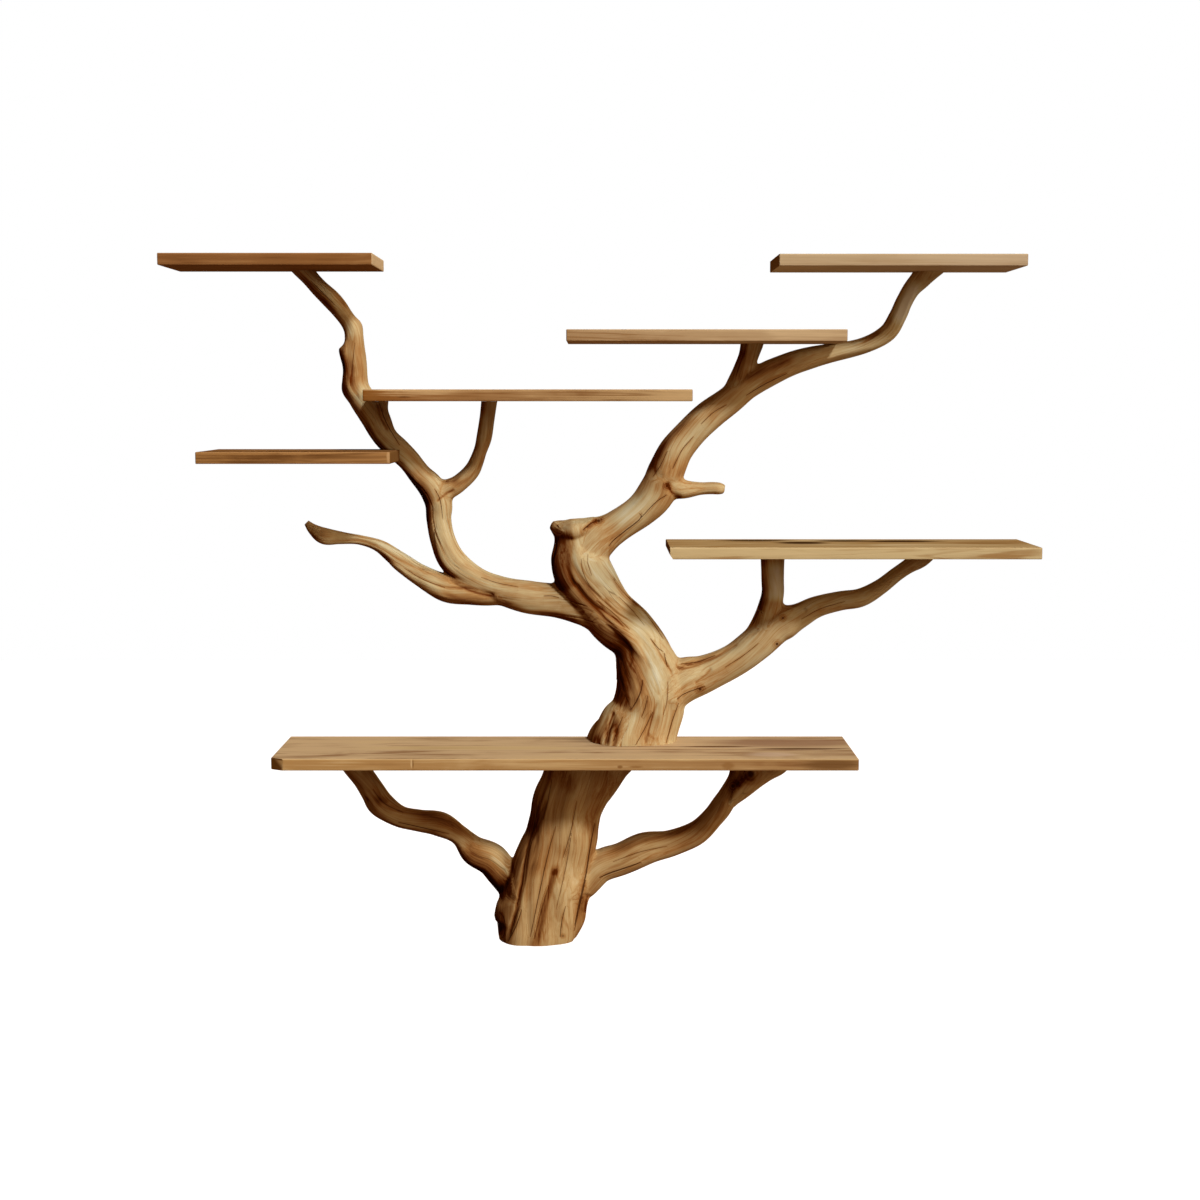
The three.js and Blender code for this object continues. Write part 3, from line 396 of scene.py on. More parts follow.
# Marks seen in the photograph, each a run of pixels with its width in pixels. A crack is a thin dark line,
# a furrow also goes in by so many metres, and a stain is darker (or paler, below 0) than the wood round it;
# many stains are painted shade on sides turned from the lamps and under boards, and some are painted
# highlights on lit ridges, as noted at each.
markForm = {
    "step": 1.0, "pastEnd": 1.5,  # along a mark's run, in pixels
    "widths": 3,  # how many widths to each side a furrow or a stain can show
    "furrowEnd": 0.12, "furrowCore": 0.55,  # shares of its length and of its width
    "stainAndPaintedLightEnd": 0.25, "sharpEnd": 0.1, "stainAndPaintedLightOver": 0.01,
    "crackReach": 12, "noCrack": 30.0, "crackLeast": 0.05,
    "turned": (0.05, 0.35),  # how far a face looks to the room where marks begin and are whole
}
cracks = [
    ([(556, 825), (549, 850), (541, 885), (530, 938)], 0.9),
    ([(595, 822), (590, 848), (586, 874), (580, 900), (574.5, 926)], 1.4),
    ([(577, 800), (571, 830), (563, 858)], 0.7),
    ([(566, 905), (562, 920), (560, 938)], 0.8), ([(572, 830), (566, 866), (556, 910)], 0.5),
    ([(586, 879), (580, 905), (574, 932)], 0.7), ([(549, 885), (541, 912), (534, 940)], 0.5),
    ([(520, 905), (514, 922), (509, 940)], 0.7),
    ([(499, 911), (504, 919), (505, 930), (502, 939)], 1.0), ([(495, 915), (500, 924), (499, 935)], 0.9),
    ([(540, 800), (533, 830), (525.5, 860), (523, 880), (517, 905)], 1.3),
    ([(522, 909), (516, 926), (508, 942)], 1.1), ([(552, 778), (548, 800), (543, 820)], 0.7),
    ([(598.5, 878), (611.5, 872.5), (625, 868), (642, 862)], 1.4),
    ([(628, 874), (640, 869), (650, 867)], 0.7), ([(612, 862), (640, 852), (668, 846)], 0.5),
    ([(397, 822), (424, 828), (450, 834)], 0.9), ([(372, 788), (384, 803), (404, 813)], 0.7),
    ([(643, 679), (641, 690), (637, 700), (631, 710)], 1.3),
    ([(648, 695), (645, 708), (641, 718)], 0.7),
    ([(653, 711), (645, 728), (635, 746)], 0.8), ([(668, 680), (667, 700), (663, 716)], 0.5),
    ([(679, 702), (672, 722), (666, 744)], 0.9),
    ([(613, 742), (618, 728), (623, 716)], 0.8),
    ([(571, 577), (580, 590), (592, 603), (603, 610)], 0.8),
    ([(605, 624), (615, 629), (625, 638), (630, 648), (632, 660), (630, 668)], 0.9),
    ([(581, 558), (583, 572), (590, 586), (602, 598)], 0.6),
    ([(588, 553), (588, 564), (592, 576)], 0.5), ([(596, 600), (612, 612), (630, 630)], 0.6),
    ([(618, 596), (632, 610), (645, 626)], 0.5), ([(640, 606), (652, 622), (664, 640)], 0.6),
    ([(650, 638), (658, 648), (664, 652)], 0.7), ([(664, 652), (666, 662), (668, 668)], 0.8),
    ([(680, 664), (690, 663), (700, 661), (716, 655)], 0.8),
    ([(608, 547), (614, 540), (625, 531), (638, 521), (641, 516), (639, 513)], 1.3),
    ([(598, 520), (590, 524), (582, 531)], 1.2),
    ([(480, 577), (498, 583), (519, 587)], 0.6), ([(543, 596), (552, 596), (560, 598)], 0.7),
    ([(652, 478), (660, 466), (668, 450)], 0.7), ([(641, 518), (655, 503), (668, 494)], 0.8),
    ([(676, 700), (684, 694), (694, 690), (706, 686)], 0.9),
    ([(444, 572), (436, 548), (434, 528)], 0.6), ([(443, 520), (440, 500), (434, 488)], 0.7),
    ([(396, 462), (410, 480), (420, 498)], 0.6), ([(700, 425), (714, 412), (728, 404)], 0.7),
    ([(672, 470), (682, 450), (694, 436)], 0.7), ([(745, 396), (765, 384), (788, 373)], 0.9),
    ([(724, 668), (744, 655), (760, 642)], 0.6), ([(800, 620), (820, 609), (846, 601)], 0.7),
    ([(352, 378), (353, 360), (355, 342)], 0.5), ([(404, 568), (424, 580), (446, 588)], 0.6),
    ([(379, 402), (386, 422), (400, 446)], 0.9), ([(310, 280), (322, 292), (336, 306)], 0.7),
]
furrows = [  # run, width in pixels, how deep in metres, how dark its painted shade is
    ([(546, 796), (538, 820), (529, 842), (525, 862), (522, 885), (516, 910), (507, 942)], 2.4, 0.004, 0.6),
    ([(574, 580), (582, 592), (594, 604), (612, 616), (628, 631)], 1.8, 0.0025, 0.5),
    ([(605, 624), (620, 634), (629, 646), (631, 659)], 2.0, 0.0005, 0.12),
    ([(680, 666), (697, 663), (716, 657), (739, 643)], 2.4, 0.0025, 0.3),
    ([(614, 711), (609, 727), (605, 746)], 2.2, 0.004, 0.6),
    ([(446, 577), (462, 587), (478, 593), (496, 597)], 2.6, 0.004, 0.55),
    ([(588, 893), (586, 902), (585, 914)], 3.0, 0.004, 0.5),
    ([(658, 700), (652, 718), (645, 745)], 2.6, 0.0015, 0.4),
    ([(556, 864), (547, 900), (536, 946)], 2.6, 0.0008, 0.12),
    ([(666, 482), (672, 492), (680, 500)], 3.4, 0.003, 0.6),
    ([(436, 502), (446, 494), (455, 489)], 2.4, 0.002, 0.5),
    ([(712, 668), (704, 676), (694, 684)], 2.6, 0.002, 0.4),
    ([(376, 402), (381, 418), (389, 432)], 3.0, 0.003, 0.6),
]
stainsAndPaintedLight = [  # run, width in pixels, how much darker (paler below 0), and how sharp its edge is; painted light is noted
    # Painted shade on the knob's left face, turned from the lamps; the run on the next line is a painted
    # highlight on the lit band beside it.
    ([(565, 532), (564.5, 545), (562, 560), (562, 575), (570, 592)], 10.0, 0.3, 6),
    ([(584, 530), (577, 545), (576, 560), (579, 575), (587, 590)], 4.5, -0.2),
    ([(352, 328), (356, 360), (358, 392)], 12.0, 0.45), ([(405, 468), (418, 486), (430, 510)], 10.0, 0.38),
    # Painted shade on the left half of the limb's top under the top left board, and a painted highlight on
    # its lit right ridge.
    ([(320, 275), (336, 291), (350, 311)], 4.0, 0.3), ([(306, 272), (320, 286), (335, 302)], 4.0, -0.3),
    # Painted shade on the trunk's left side below the bottom board: the first run on this line and on the
    # next.
    ([(546, 812), (540, 845), (534, 882)], 7.0, 0.3), ([(598, 870), (586, 900), (577, 925)], 9.0, 0.2),
    ([(536, 858), (531, 885), (526, 905)], 6.0, 0.22), ([(600, 519), (586, 528), (578, 540)], 3.0, 0.35),
    ([(584, 556), (590, 588), (618, 618), (642, 655), (640, 720)], 17.0, 0.18),
    # Painted shade on the trunk's left flank, turned from the lamps.
    ([(604, 634), (617, 648), (624, 668), (622, 694), (612, 718)], 9.0, 0.4),
    ([(530, 612), (560, 617), (585, 623)], 5.0, 0.3),
    # Painted highlight on the trunk's pale crest; the run on the next line paints light into the shadow that
    # the right middle board casts on the trunk.
    ([(616, 611), (632, 622), (645, 645), (652, 670), (653, 700)], 10.0, -0.5),
    ([(638, 603), (645, 612), (652, 624)], 6.0, -0.3),
    # Painted highlights that widen the trunk's lit crest and the bright band below the knob.
    ([(655, 660), (658, 685), (652, 706)], 9.0, -0.2), ([(592, 545), (592, 565), (602, 585)], 8.0, -0.14),
    # Painted shade where the right middle board shades the elbow of the trunk.
    ([(612, 572), (626, 592), (646, 618)], 7.0, 0.3), ([(606, 582), (620, 602), (640, 630)], 7.0, 0.14),
    ([(612, 528), (640, 507), (658, 488)], 10.0, -0.32), ([(668, 466), (690, 440), (716, 418)], 9.0, -0.36),
    # Painted shade on the right limb's upper left edge, turned from the lamps and under the upper middle
    # board: this line and the next.
    ([(648, 484), (655, 462), (672, 436), (698, 412)], 5.0, 0.4),
    ([(735, 384), (760, 372), (800, 356)], 4.5, 0.35),
    # Painted shade on the left side of the right middle board's post and of the heel below it.
    ([(700, 640), (730, 622), (755, 600), (762, 570)], 6.0, 0.4),
    ([(660, 712), (655, 728), (650, 746)], 3.4, 0.24), ([(640, 706), (632, 724), (628, 742)], 4.0, -0.15),
    # Painted shade on the left sides of the trunk and the foot.
    ([(528, 800), (520, 830), (510, 862), (506, 900)], 7.0, 0.36), ([(499, 905), (500, 938)], 5.0, 0.35),
    ([(557, 862), (551, 884), (544, 908), (535, 950)], 3.8, 0.3, 5), ([(556, 868), (554, 876)], 4.0, 0.25),
    ([(590, 830), (586, 860), (578, 890)], 5.0, -0.14), ([(560, 850), (572, 880), (570, 930)], 7.0, -0.12),
    # Painted shade on the left brace, in the bottom board's shadow: this line and two lines down, with a
    # thin painted highlight between.
    ([(365, 778), (385, 800), (420, 812), (455, 826), (480, 845)], 8.0, 0.5),
    ([(489, 855), (503, 866), (511, 879)], 2.0, -0.5),
    ([(458, 842), (480, 862), (497, 880), (505, 905)], 13.0, 0.55),
    # Painted shade under the bottom board, on the right brace's toe and along its upper edge: this line and
    # the next.
    ([(735, 788), (745, 780), (756, 774)], 5.0, 0.6),
    ([(596, 858), (640, 842), (680, 832), (712, 808)], 4.0, 0.3),
    # The second run paints shade on the left limb's left side, as do both runs on the next line.
    ([(376, 404), (384, 416), (392, 432)], 5.0, 0.1), ([(346, 350), (348, 375), (360, 400)], 4.0, 0.36),
    ([(350, 398), (366, 425), (392, 452)], 6.0, 0.12), ([(412, 478), (424, 500), (428, 530)], 7.0, 0.4),
    # The second run paints shade on the left side of the upper middle board's post.
    ([(484, 410), (482, 430), (478, 450)], 4.0, -0.25), ([(735, 384), (742, 362), (746, 346)], 5.0, 0.35),
    # Painted shade on the left side of the right middle board's post, then painted light on that post, where
    # the board's shadow falls.
    ([(762, 590), (757, 608), (748, 628)], 4.0, 0.3), ([(775, 560), (776, 585), (775, 604)], 9.0, -0.9),
    # The first run paints shade on the left side of the limb's top under the top left board.
    ([(300, 272), (318, 292), (334, 310)], 4.0, 0.2), ([(860, 343), (882, 330)], 3.0, 0.25),
    # Painted light on the right limb's tip, where the top right board's shadow falls.
    ([(894, 326), (900, 313), (908, 297), (920, 280)], 7.0, -1.0),
    ([(430, 584), (470, 604), (520, 612)], 4.0, 0.3), ([(420, 560), (400, 552), (370, 540)], 3.0, -0.16),
    ([(470, 580), (520, 592), (575, 598)], 5.0, -0.2), ([(790, 622), (820, 612), (850, 604)], 4.0, 0.2),
]


def toPicture(places):
    # The pixel that shows each place.
    off = places - np.array(cameraPlace)
    ahead = off[:, 1] * math.cos(pitch) - off[:, 2] * math.sin(pitch)
    up = off[:, 1] * math.sin(pitch) + off[:, 2] * math.cos(pitch)
    middle = picture["side"] / 2
    return np.column_stack([
        middle + picture["focal"] * off[:, 0] / ahead, middle - picture["focal"] * up / ahead])


def alongRun(pixels, run, reach):
    # Which pixels lie near a run, how far to its side, and how far along it from 0 to 1, or -1 past its end.
    path, reached = smoothRun(run, markForm["step"])
    low, high = path.min(0) - reach, path.max(0) + reach
    near = np.flatnonzero(((pixels > low) & (pixels < high)).all(1))
    if not len(near):
        return near, np.zeros(0), np.zeros(0)
    ways = np.gradient(path, axis=0)
    ways /= np.linalg.norm(ways, axis=1)[:, None]
    off = pixels[near][:, None] - path[None]
    nearest = (off ** 2).sum(2).argmin(1)
    off = off[np.arange(len(near)), nearest]
    way = ways[nearest]
    sideways = off[:, 0] * way[:, 1] - off[:, 1] * way[:, 0]
    beyond = np.abs((off * way).sum(1))
    ends = (nearest == 0) | (nearest == len(path) - 1)
    share = reached[nearest] / reached[-1]
    share = np.where(ends & (beyond > markForm["pastEnd"]), -1.0, share)
    return near, sideways, share


def facing(mesh):
    return smoothstep(*markForm["turned"], -normalsOf(mesh)[:, 1])


def furrowDepth(pixels):
    # How deep the furrows go in at each pixel, and how dark they are with painted shade.
    depth = np.zeros(len(pixels))
    dark = np.zeros(len(pixels))
    for run, wide, deep, shade in furrows:
        near, sideways, share = alongRun(pixels, run, markForm["widths"] * wide)
        fade = markForm["furrowEnd"]
        ending = smoothstep(0, fade, share) * smoothstep(1, 1 - fade, share) * (share >= 0)
        hold = np.exp(-(sideways / wide) ** 2) * ending
        core = np.exp(-(sideways / wide / markForm["furrowCore"]) ** 2)
        depth[near] = np.maximum(depth[near], deep * hold)
        dark[near] = np.maximum(dark[near], shade * core * ending)
    return depth, dark


def stainAndPaintedLightTone(pixels):
    tone = np.zeros(len(pixels))
    past = markForm["stainAndPaintedLightOver"]
    for run, wide, shade, *edge in stainsAndPaintedLight:
        near, sideways, share = alongRun(pixels, run, markForm["widths"] * wide)
        soft = markForm["sharpEnd"] if edge else markForm["stainAndPaintedLightEnd"]
        ending = smoothstep(-past, soft, share) * smoothstep(1 + past, 1 - soft, share) * (share >= 0)
        tone[near] += shade * np.exp(-np.abs(sideways / wide) ** (edge[0] if edge else 2)) * ending
    return tone


def crackLines(pixels):
    # Sideways distance to the nearest crack, as a share of its width there.
    far, least = markForm["noCrack"], markForm["crackLeast"]
    nearest = np.full(len(pixels), far)
    for run, wide in cracks:
        near, sideways, share = alongRun(pixels, run, markForm["crackReach"])
        taper = np.sqrt(np.clip(1 - np.abs(2 * share - 1) ** 3, 0, 1)) * (share >= 0)
        given = np.where(taper > least, sideways / (wide * np.maximum(taper, least)), far)
        closer = np.abs(given) < np.abs(nearest[near])
        nearest[near[closer]] = given[closer]
    return nearest.clip(-far, far)


relief = {  # heights, with the lengths and widths over which they come and go
    "ridge": 0.0034, "ridgeLong": 0.26, "ridgeWide": 0.03,
    "rib": 0.0009, "ribLong": 0.14, "ribWide": 0.012,
    "lump": 0.0024, "lumpSize": 0.065,
    "valley": 0.0016, "valleyLong": 0.34, "valleyWide": 0.034, "valleyEdge": 0.86, "valleyPatch": 0.16,
    # valleyDark is how much painted shade darkens a valley of the grain.
    "valleyShow": (-0.1, 0.5), "valleyDark": 0.45,
}
carving = {
    "crotchReach": 0.016, "crotchPull": 0.7, "crotchRounds": 30,  # smoothing where two limbs meet
    "pull": 0.4, "rounds": 2,  # smoothing everywhere
    "fullDepth": 0.03, "leastShare": 0.25,  # the relief fades towards the planed back
}


def stretched(grain, along, wide):
    return grain / (along, wide, wide)


def reliefAt(places, chosen, blend):
    # How far the wood stands out or in, and how deep a valley of the grain it lies in. Each noise has a seed
    # of its own.
    height = np.zeros(len(places))
    valley = np.zeros(len(places))
    for grain, share in zip(chosen, (1 - blend, blend)):
        ridge = noise(stretched(grain, relief["ridgeLong"], relief["ridgeWide"]), 11)
        rib = noise(stretched(grain, relief["ribLong"], relief["ribWide"]), 12)
        line = 1 - np.abs(noise(stretched(grain, relief["valleyLong"], relief["valleyWide"]), 13))
        patch = smoothstep(*relief["valleyShow"], noise(places / relief["valleyPatch"], 14))
        cut = smoothstep(relief["valleyEdge"], 1, line) * patch
        height += share * (relief["ridge"] * ridge + relief["rib"] * rib - relief["valley"] * cut)
        valley += share * cut
    height += relief["lump"] * noise(places / relief["lumpSize"], 15)
    return height, valley


def neighbourMean(places, edges, counts):
    # The mean place of each point's neighbours.
    total = np.zeros_like(places)
    for axis in range(3):
        total[:, axis] += np.bincount(edges[:, 0], places[edges[:, 1], axis], len(places))
        total[:, axis] += np.bincount(edges[:, 1], places[edges[:, 0], axis], len(places))
    return total / counts[:, None]


def edgesOf(mesh):
    flat = np.zeros(len(mesh.edges) * 2, np.int32)
    mesh.edges.foreach_get("vertices", flat)
    return flat.reshape(-1, 2)


def normalsOf(mesh):
    flat = np.zeros(len(mesh.vertices) * 3, np.float32)
    mesh.vertices.foreach_get("normal", flat)
    return flat.reshape(-1, 3).astype(float)


def carveTree():
    mesh = tree.data
    places = placesOf(mesh)
    edges = edgesOf(mesh)
    counts = np.bincount(edges.ravel(), minlength=len(places)).astype(float)
    _, _, second = threadFlows(places)
    crotch = np.exp(-(second / carving["crotchReach"]) ** 2) * carving["crotchPull"]
    for _ in range(carving["crotchRounds"]):
        places += crotch[:, None] * (neighbourMean(places, edges, counts) - places)
    for _ in range(carving["rounds"]):
        places += carving["pull"] * (neighbourMean(places, edges, counts) - places)
    putPlaces(mesh, places)
    chosen, blend, _ = threadFlows(places)
    height, _ = reliefAt(places, chosen, blend)
    fade = np.clip(-places[:, 1] / carving["fullDepth"], carving["leastShare"], 1)
    furrow, _ = furrowDepth(toPicture(places))
    putPlaces(mesh, places + normalsOf(mesh) * (height * fade - furrow * facing(mesh))[:, None])


carveTree()
print("limbs carved")


# Cutters.
def boxPart(low, high):
    corners = [(x, y, z) for z in (low[2], high[2]) for y in (low[1], high[1]) for x in (low[0], high[0])]
    faces = [(0, 2, 3, 1), (4, 5, 7, 6), (0, 1, 5, 4), (2, 6, 7, 3), (0, 4, 6, 2), (1, 3, 7, 5)]
    return corners, faces


def drumPart(start, end, radius, sides=24):
    start, end = Vector(start), Vector(end)
    turn = (end - start).to_track_quat("Z", "Y")
    places = []
    for middle in (start, end):
        for side in range(sides):
            angle = 2 * math.pi * side / sides
            rim = Vector((radius * math.cos(angle), radius * math.sin(angle), 0))
            places.append(tuple(middle + turn @ rim))
    faces = [tuple(range(sides))[::-1], tuple(range(sides, 2 * sides))]
    for side in range(sides):
        following = (side + 1) % sides
        faces.append((side, following, sides + following, sides + side))
    return places, faces


def cutterFrom(name, parts):
    places, faces = [], []
    for partPlaces, partFaces in parts:
        faces += [tuple(corner + len(places) for corner in face) for face in partFaces]
        places += partPlaces
    mesh = meshFrom(name, places, faces)
    outwards(mesh)
    return linked(name, mesh)


def cutBy(made, cutters):
    for cutter in cutters:
        cut = made.modifiers.new(cutter.name, "BOOLEAN")
        cut.operation = "DIFFERENCE"
        cut.solver = "MANIFOLD"
        cut.object = cutter
    settle(made)
    for cutter in cutters:
        bpy.data.objects.remove(cutter)


cutForm = {
    "gap": 0.0003,  # of a hole or a seat, round what it holds
    "kerf": 0.00006,  # width of the cut between two limbs
    "runOut": 0.02,  # how far a cutter runs out past the wood
    "postRise": 0.0035, "postBow": 0.008,  # a post's cut: how far off the limb, and how much more behind
    "postFront": 0.03,  # how far that cut runs out past the limb's front
    "postShare": 1.2, "postMore": 0.03,  # its length behind the post: a share of the post's half, and more
    "buttShare": 1.25, "buttMore": 0.006,  # half the width of a butt joint's cut, in the same way
    "pocketHalf": (0.006, 0.0105), "pocketDeep": 0.008, "pocketBack": 0.001,  # for a wall screw's head
    "screwHole": 0.00205, "screwSides": 12,
    "blockSide": 2, "wallBack": 0.5, "soleBack": 0.4, "soleFront": 1,  # what clears the wall and the sole
}
gap = cutForm["gap"]
runOut = cutForm["runOut"]


def rodOf(name):
    # Ends and radius of a dowel or pin, from its own mesh.
    places = np.unique(placesOf(nodes[name].data).round(7), axis=0)
    middle = places.mean(0)
    _, _, ways = np.linalg.svd(places - middle)
    way = ways[0]
    along = (places - middle) @ way
    radius = np.linalg.norm((places - middle) - along[:, None] * way, axis=1).max()
    return Vector(middle + way * along.min()), Vector(middle + way * along.max()), radius


dowelNames = sorted(name for name in nodes if "dowel" in name or name.startswith("pin_"))
boardNames = sorted(name for name in nodes if name.startswith("shelf_"))
plateNames = sorted(name for name in nodes if name.startswith("hanging_plate"))
screwNames = sorted(name for name in nodes if name.startswith("plate_screw"))


def bores(names):
    parts = []
    for name in names:
        start, end, radius = rodOf(name)
        way = (end - start).normalized() * gap
        parts.append(drumPart(start - way, end + way, radius + gap))
    return parts


def ribbonPart(line, samples, side, rises):
    # A thin wall that follows a limb's edge, so far outside it at each sample.
    places = []
    for sample, rise in zip(samples, rises):
        ahead = line["ahead"][sample]
        away = np.array([-ahead[1], ahead[0]]) * side
        for lift in (rise, rise + cutForm["kerf"]):
            spot = line["middle"][sample] + away * (line["half"][sample] + lift)
            front = -line["depth"][sample] - cutForm["postFront"]
            places += [(spot[0], front, spot[1]), (spot[0], runOut, spot[1])]
    faces = [(0, 1, 3, 2), tuple(len(places) - back for back in (4, 2, 1, 3))]
    for ring in range(len(samples) - 1):
        here = 4 * ring
        for first, second in ((0, 1), (1, 3), (3, 2), (2, 0)):
            faces.append((here + first, here + second, here + 4 + second, here + 4 + first))
    return places, faces


def postKerf(post, limb):
    # The cut at a post's foot. The post leans forwards along the limb, so the cut reaches further there.
    post, limb = lines[post], lines[limb]
    root = int(np.linalg.norm(limb["middle"] - post["middle"][0], axis=1).argmin())
    back = int((post["half"][0] * cutForm["postShare"] + cutForm["postMore"]) / limbForm["ringStep"])
    samples = np.arange(root - back, root + 2 * back)
    rises = cutForm["postRise"] + cutForm["postBow"] * ((root - samples) / back).clip(0, 1) ** 2
    ahead = limb["ahead"][root]
    side = 1 if np.array([-ahead[1], ahead[0]]) @ post["ahead"][0] > 0 else -1
    return ribbonPart(limb, samples, side, rises)


def kerfs():
    # The two posts' cuts, and a thin slab across each butt joint, at the middle of its dowel.
    parts = [postKerf("shelf4Post", "rightLimb"), postKerf("shelf6Post", "rightArm")]
    for name in dowelNames:
        if name.startswith(("pin_", "trunk_dowel", "shelf4", "shelf6")):
            continue
        start, end, _ = rodOf(name)
        middle, way = (start + end) / 2, (end - start).normalized()
        flat = np.array([middle.x, middle.z])
        gaps = [np.linalg.norm(line["middle"] - flat, axis=1) for line in lines.values()]
        whose = min(range(len(gaps)), key=lambda index: gaps[index].min())
        line = list(lines.values())[whose]
        nearest = int(gaps[whose].argmin())
        half = line["half"][nearest] * cutForm["buttShare"] + cutForm["buttMore"]
        depth = line["depth"][nearest] + runOut
        across = Vector((0, 1, 0)).cross(way).normalized()
        corners = []
        for face in (-1, 1):
            for out in (-depth, runOut):
                for side in (-1, 1):
                    spot = middle + way * (face * cutForm["kerf"] / 2) + across * (side * half)
                    corners.append((spot.x, out, spot.z))
        faces = [(0, 1, 3, 2), (4, 6, 7, 5), (0, 4, 5, 1), (2, 3, 7, 6), (0, 2, 6, 4), (1, 5, 7, 3)]
        parts.append((corners, faces))
    return parts


def boardSlots():
    parts = []
    around = Vector((gap, gap, gap)) / 3
    for name in boardNames:
        low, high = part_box(name)
        parts.append(boxPart(low - around, (high.x + around.x, runOut, high.z + around.z)))
    return parts


def plateSeats():
    parts = []
    for name in plateNames:
        low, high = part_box(name)
        parts.append(boxPart((low.x - gap, low.y - gap, low.z - gap), (high.x + gap, runOut, high.z + gap)))
    return parts


def platePockets():
    # Room for the heads of the wall screws, and the holes of the plates' own screws.
    parts = []
    across, tall = cutForm["pocketHalf"]
    for name in plateNames:
        low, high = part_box(name)
        middle = (low + high) / 2
        parts.append(boxPart((middle.x - across, low.y - cutForm["pocketDeep"], middle.z - tall),
                             (middle.x + across, -cutForm["pocketBack"], middle.z + tall)))
    for name in screwNames:
        low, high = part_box(name)
        middle = (low + high) / 2
        parts.append(drumPart((middle.x, high.y, middle.z), (middle.x, low.y - gap, middle.z),
                              cutForm["screwHole"], cutForm["screwSides"]))
    return parts


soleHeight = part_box("trunk_base")[0].z
blockSide = cutForm["blockSide"]
wallBlock = boxPart((-blockSide, 0, -blockSide), (blockSide, cutForm["wallBack"], blockSide))
soleBlock = boxPart((-blockSide, -cutForm["soleFront"], -blockSide),
                    (blockSide, cutForm["soleBack"], soleHeight))
cutBy(tree, [
    cutterFrom("wallSide", [wallBlock]),
    cutterFrom("belowSole", [soleBlock] + boardSlots()),
    cutterFrom("boredHoles", bores(dowelNames)),
    cutterFrom("plateSeats", plateSeats()),
    cutterFrom("platePockets", platePockets()),
    cutterFrom("kerfs", kerfs()),
])
print("limbs cut:", len(tree.data.vertices), "points")


# Shader and geometry maths as expressions.
class Value:
    def __init__(self, wiring, socket):
        self.wiring, self.socket = wiring, socket

    def math(self, operation, *others, clamp=False):
        sockets = dict(enumerate([self, *others]))
        return self.wiring.add("ShaderNodeMath", {"operation": operation, "use_clamp": clamp}, sockets)

    def reflected(self, operation, other):
        return self.wiring.add("ShaderNodeMath", {"operation": operation}, {0: other, 1: self})

    def __add__(self, other):
        return self.math("ADD", other)

    def __radd__(self, other):
        return self.math("ADD", other)

    def __sub__(self, other):
        return self.math("SUBTRACT", other)

    def __rsub__(self, other):
        return self.reflected("SUBTRACT", other)

    def __mul__(self, other):
        return self.math("MULTIPLY", other)

    def __rmul__(self, other):
        return self.math("MULTIPLY", other)

    def __truediv__(self, other):
        return self.math("DIVIDE", other)

    def __rtruediv__(self, other):
        return self.reflected("DIVIDE", other)

    def __pow__(self, other):
        return self.math("POWER", other)

    def __rpow__(self, other):
        return self.reflected("POWER", other)

    def __abs__(self):
        return self.math("ABSOLUTE")

    def clamped(self):
        return self.math("ADD", 0, clamp=True)


class Wiring:
    def __init__(self, tree):
        self.tree = tree

    def add(self, kind, settings=None, sockets=None, out=0):
        node = self.tree.nodes.new(kind)
        for key, setting in (settings or {}).items():
            if key == "stops":
                self.setStops(node.color_ramp, setting)
            else:
                setattr(node, key, setting)
        for key, given in (sockets or {}).items():
            socket = node.inputs[key]
            if isinstance(given, Value):
                self.tree.links.new(given.socket, socket)
            else:
                socket.default_value = given
        if not node.outputs:
            return node
        return Value(self, node.outputs[out])

    def setStops(self, ramp, stops):
        while len(ramp.elements) < len(stops):
            ramp.elements.new(0.5)
        for element, (place, tint) in zip(ramp.elements, stops):
            element.position = place
            element.color = tint

    def scaled(self, vector, scale, shift=(0, 0, 0)):
        settings = {"operation": "MULTIPLY_ADD"}
        return self.add("ShaderNodeVectorMath", settings, {0: vector, 1: scale, 2: shift})

    def noise(self, vector, detail=3, roughness=0.5, distortion=0):
        sockets = {"Vector": vector, "Scale": 1, "Detail": detail, "Roughness": roughness,
                   "Distortion": distortion}
        return self.add("ShaderNodeTexNoise", {"noise_dimensions": "3D"}, sockets)

    def ramp(self, factor, stops):
        coloured = [(place, colour(code)) for place, code in stops]
        return self.add("ShaderNodeValToRGB", {"stops": coloured}, {"Fac": factor})

    def bump(self, look, height):
        sockets = {"Strength": look["bump"], "Distance": look["bumpDeep"], "Height": height}
        return self.add("ShaderNodeBump", sockets=sockets)

    def step(self, low, high, value):
        settings = {"interpolation_type": "SMOOTHSTEP", "clamp": True}
        return self.add("ShaderNodeMapRange", settings, {"Value": value, "From Min": low, "From Max": high})

    def mixColour(self, factor, first, second):
        settings = {"data_type": "RGBA", "blend_type": "MIX", "clamp_factor": True}
        return self.add("ShaderNodeMix", settings, {0: factor, 6: first, 7: second}, out=2)

    def attribute(self, name, out="Vector"):
        return self.add("ShaderNodeAttribute", {"attribute_name": name}, out=out)


def colour(code, shade=1.0):
    # A colour from its screen code, in linear light.
    parts = [int(code[place:place + 2], 16) / 255 for place in (1, 3, 5)]
    return tuple(shade * (p / 12.92 if p <= 0.04045 else ((p + 0.055) / 1.055) ** 2.4) for p in parts) + (1,)


def newMaterial(name):
    material = bpy.data.materials.new(name)
    material.use_nodes = True
    material.node_tree.nodes.clear()
    return material, Wiring(material.node_tree)


def finishSurface(wiring, sockets):
    shader = wiring.add("ShaderNodeBsdfPrincipled", sockets=sockets)
    wiring.add("ShaderNodeOutputMaterial", sockets={"Surface": shader})


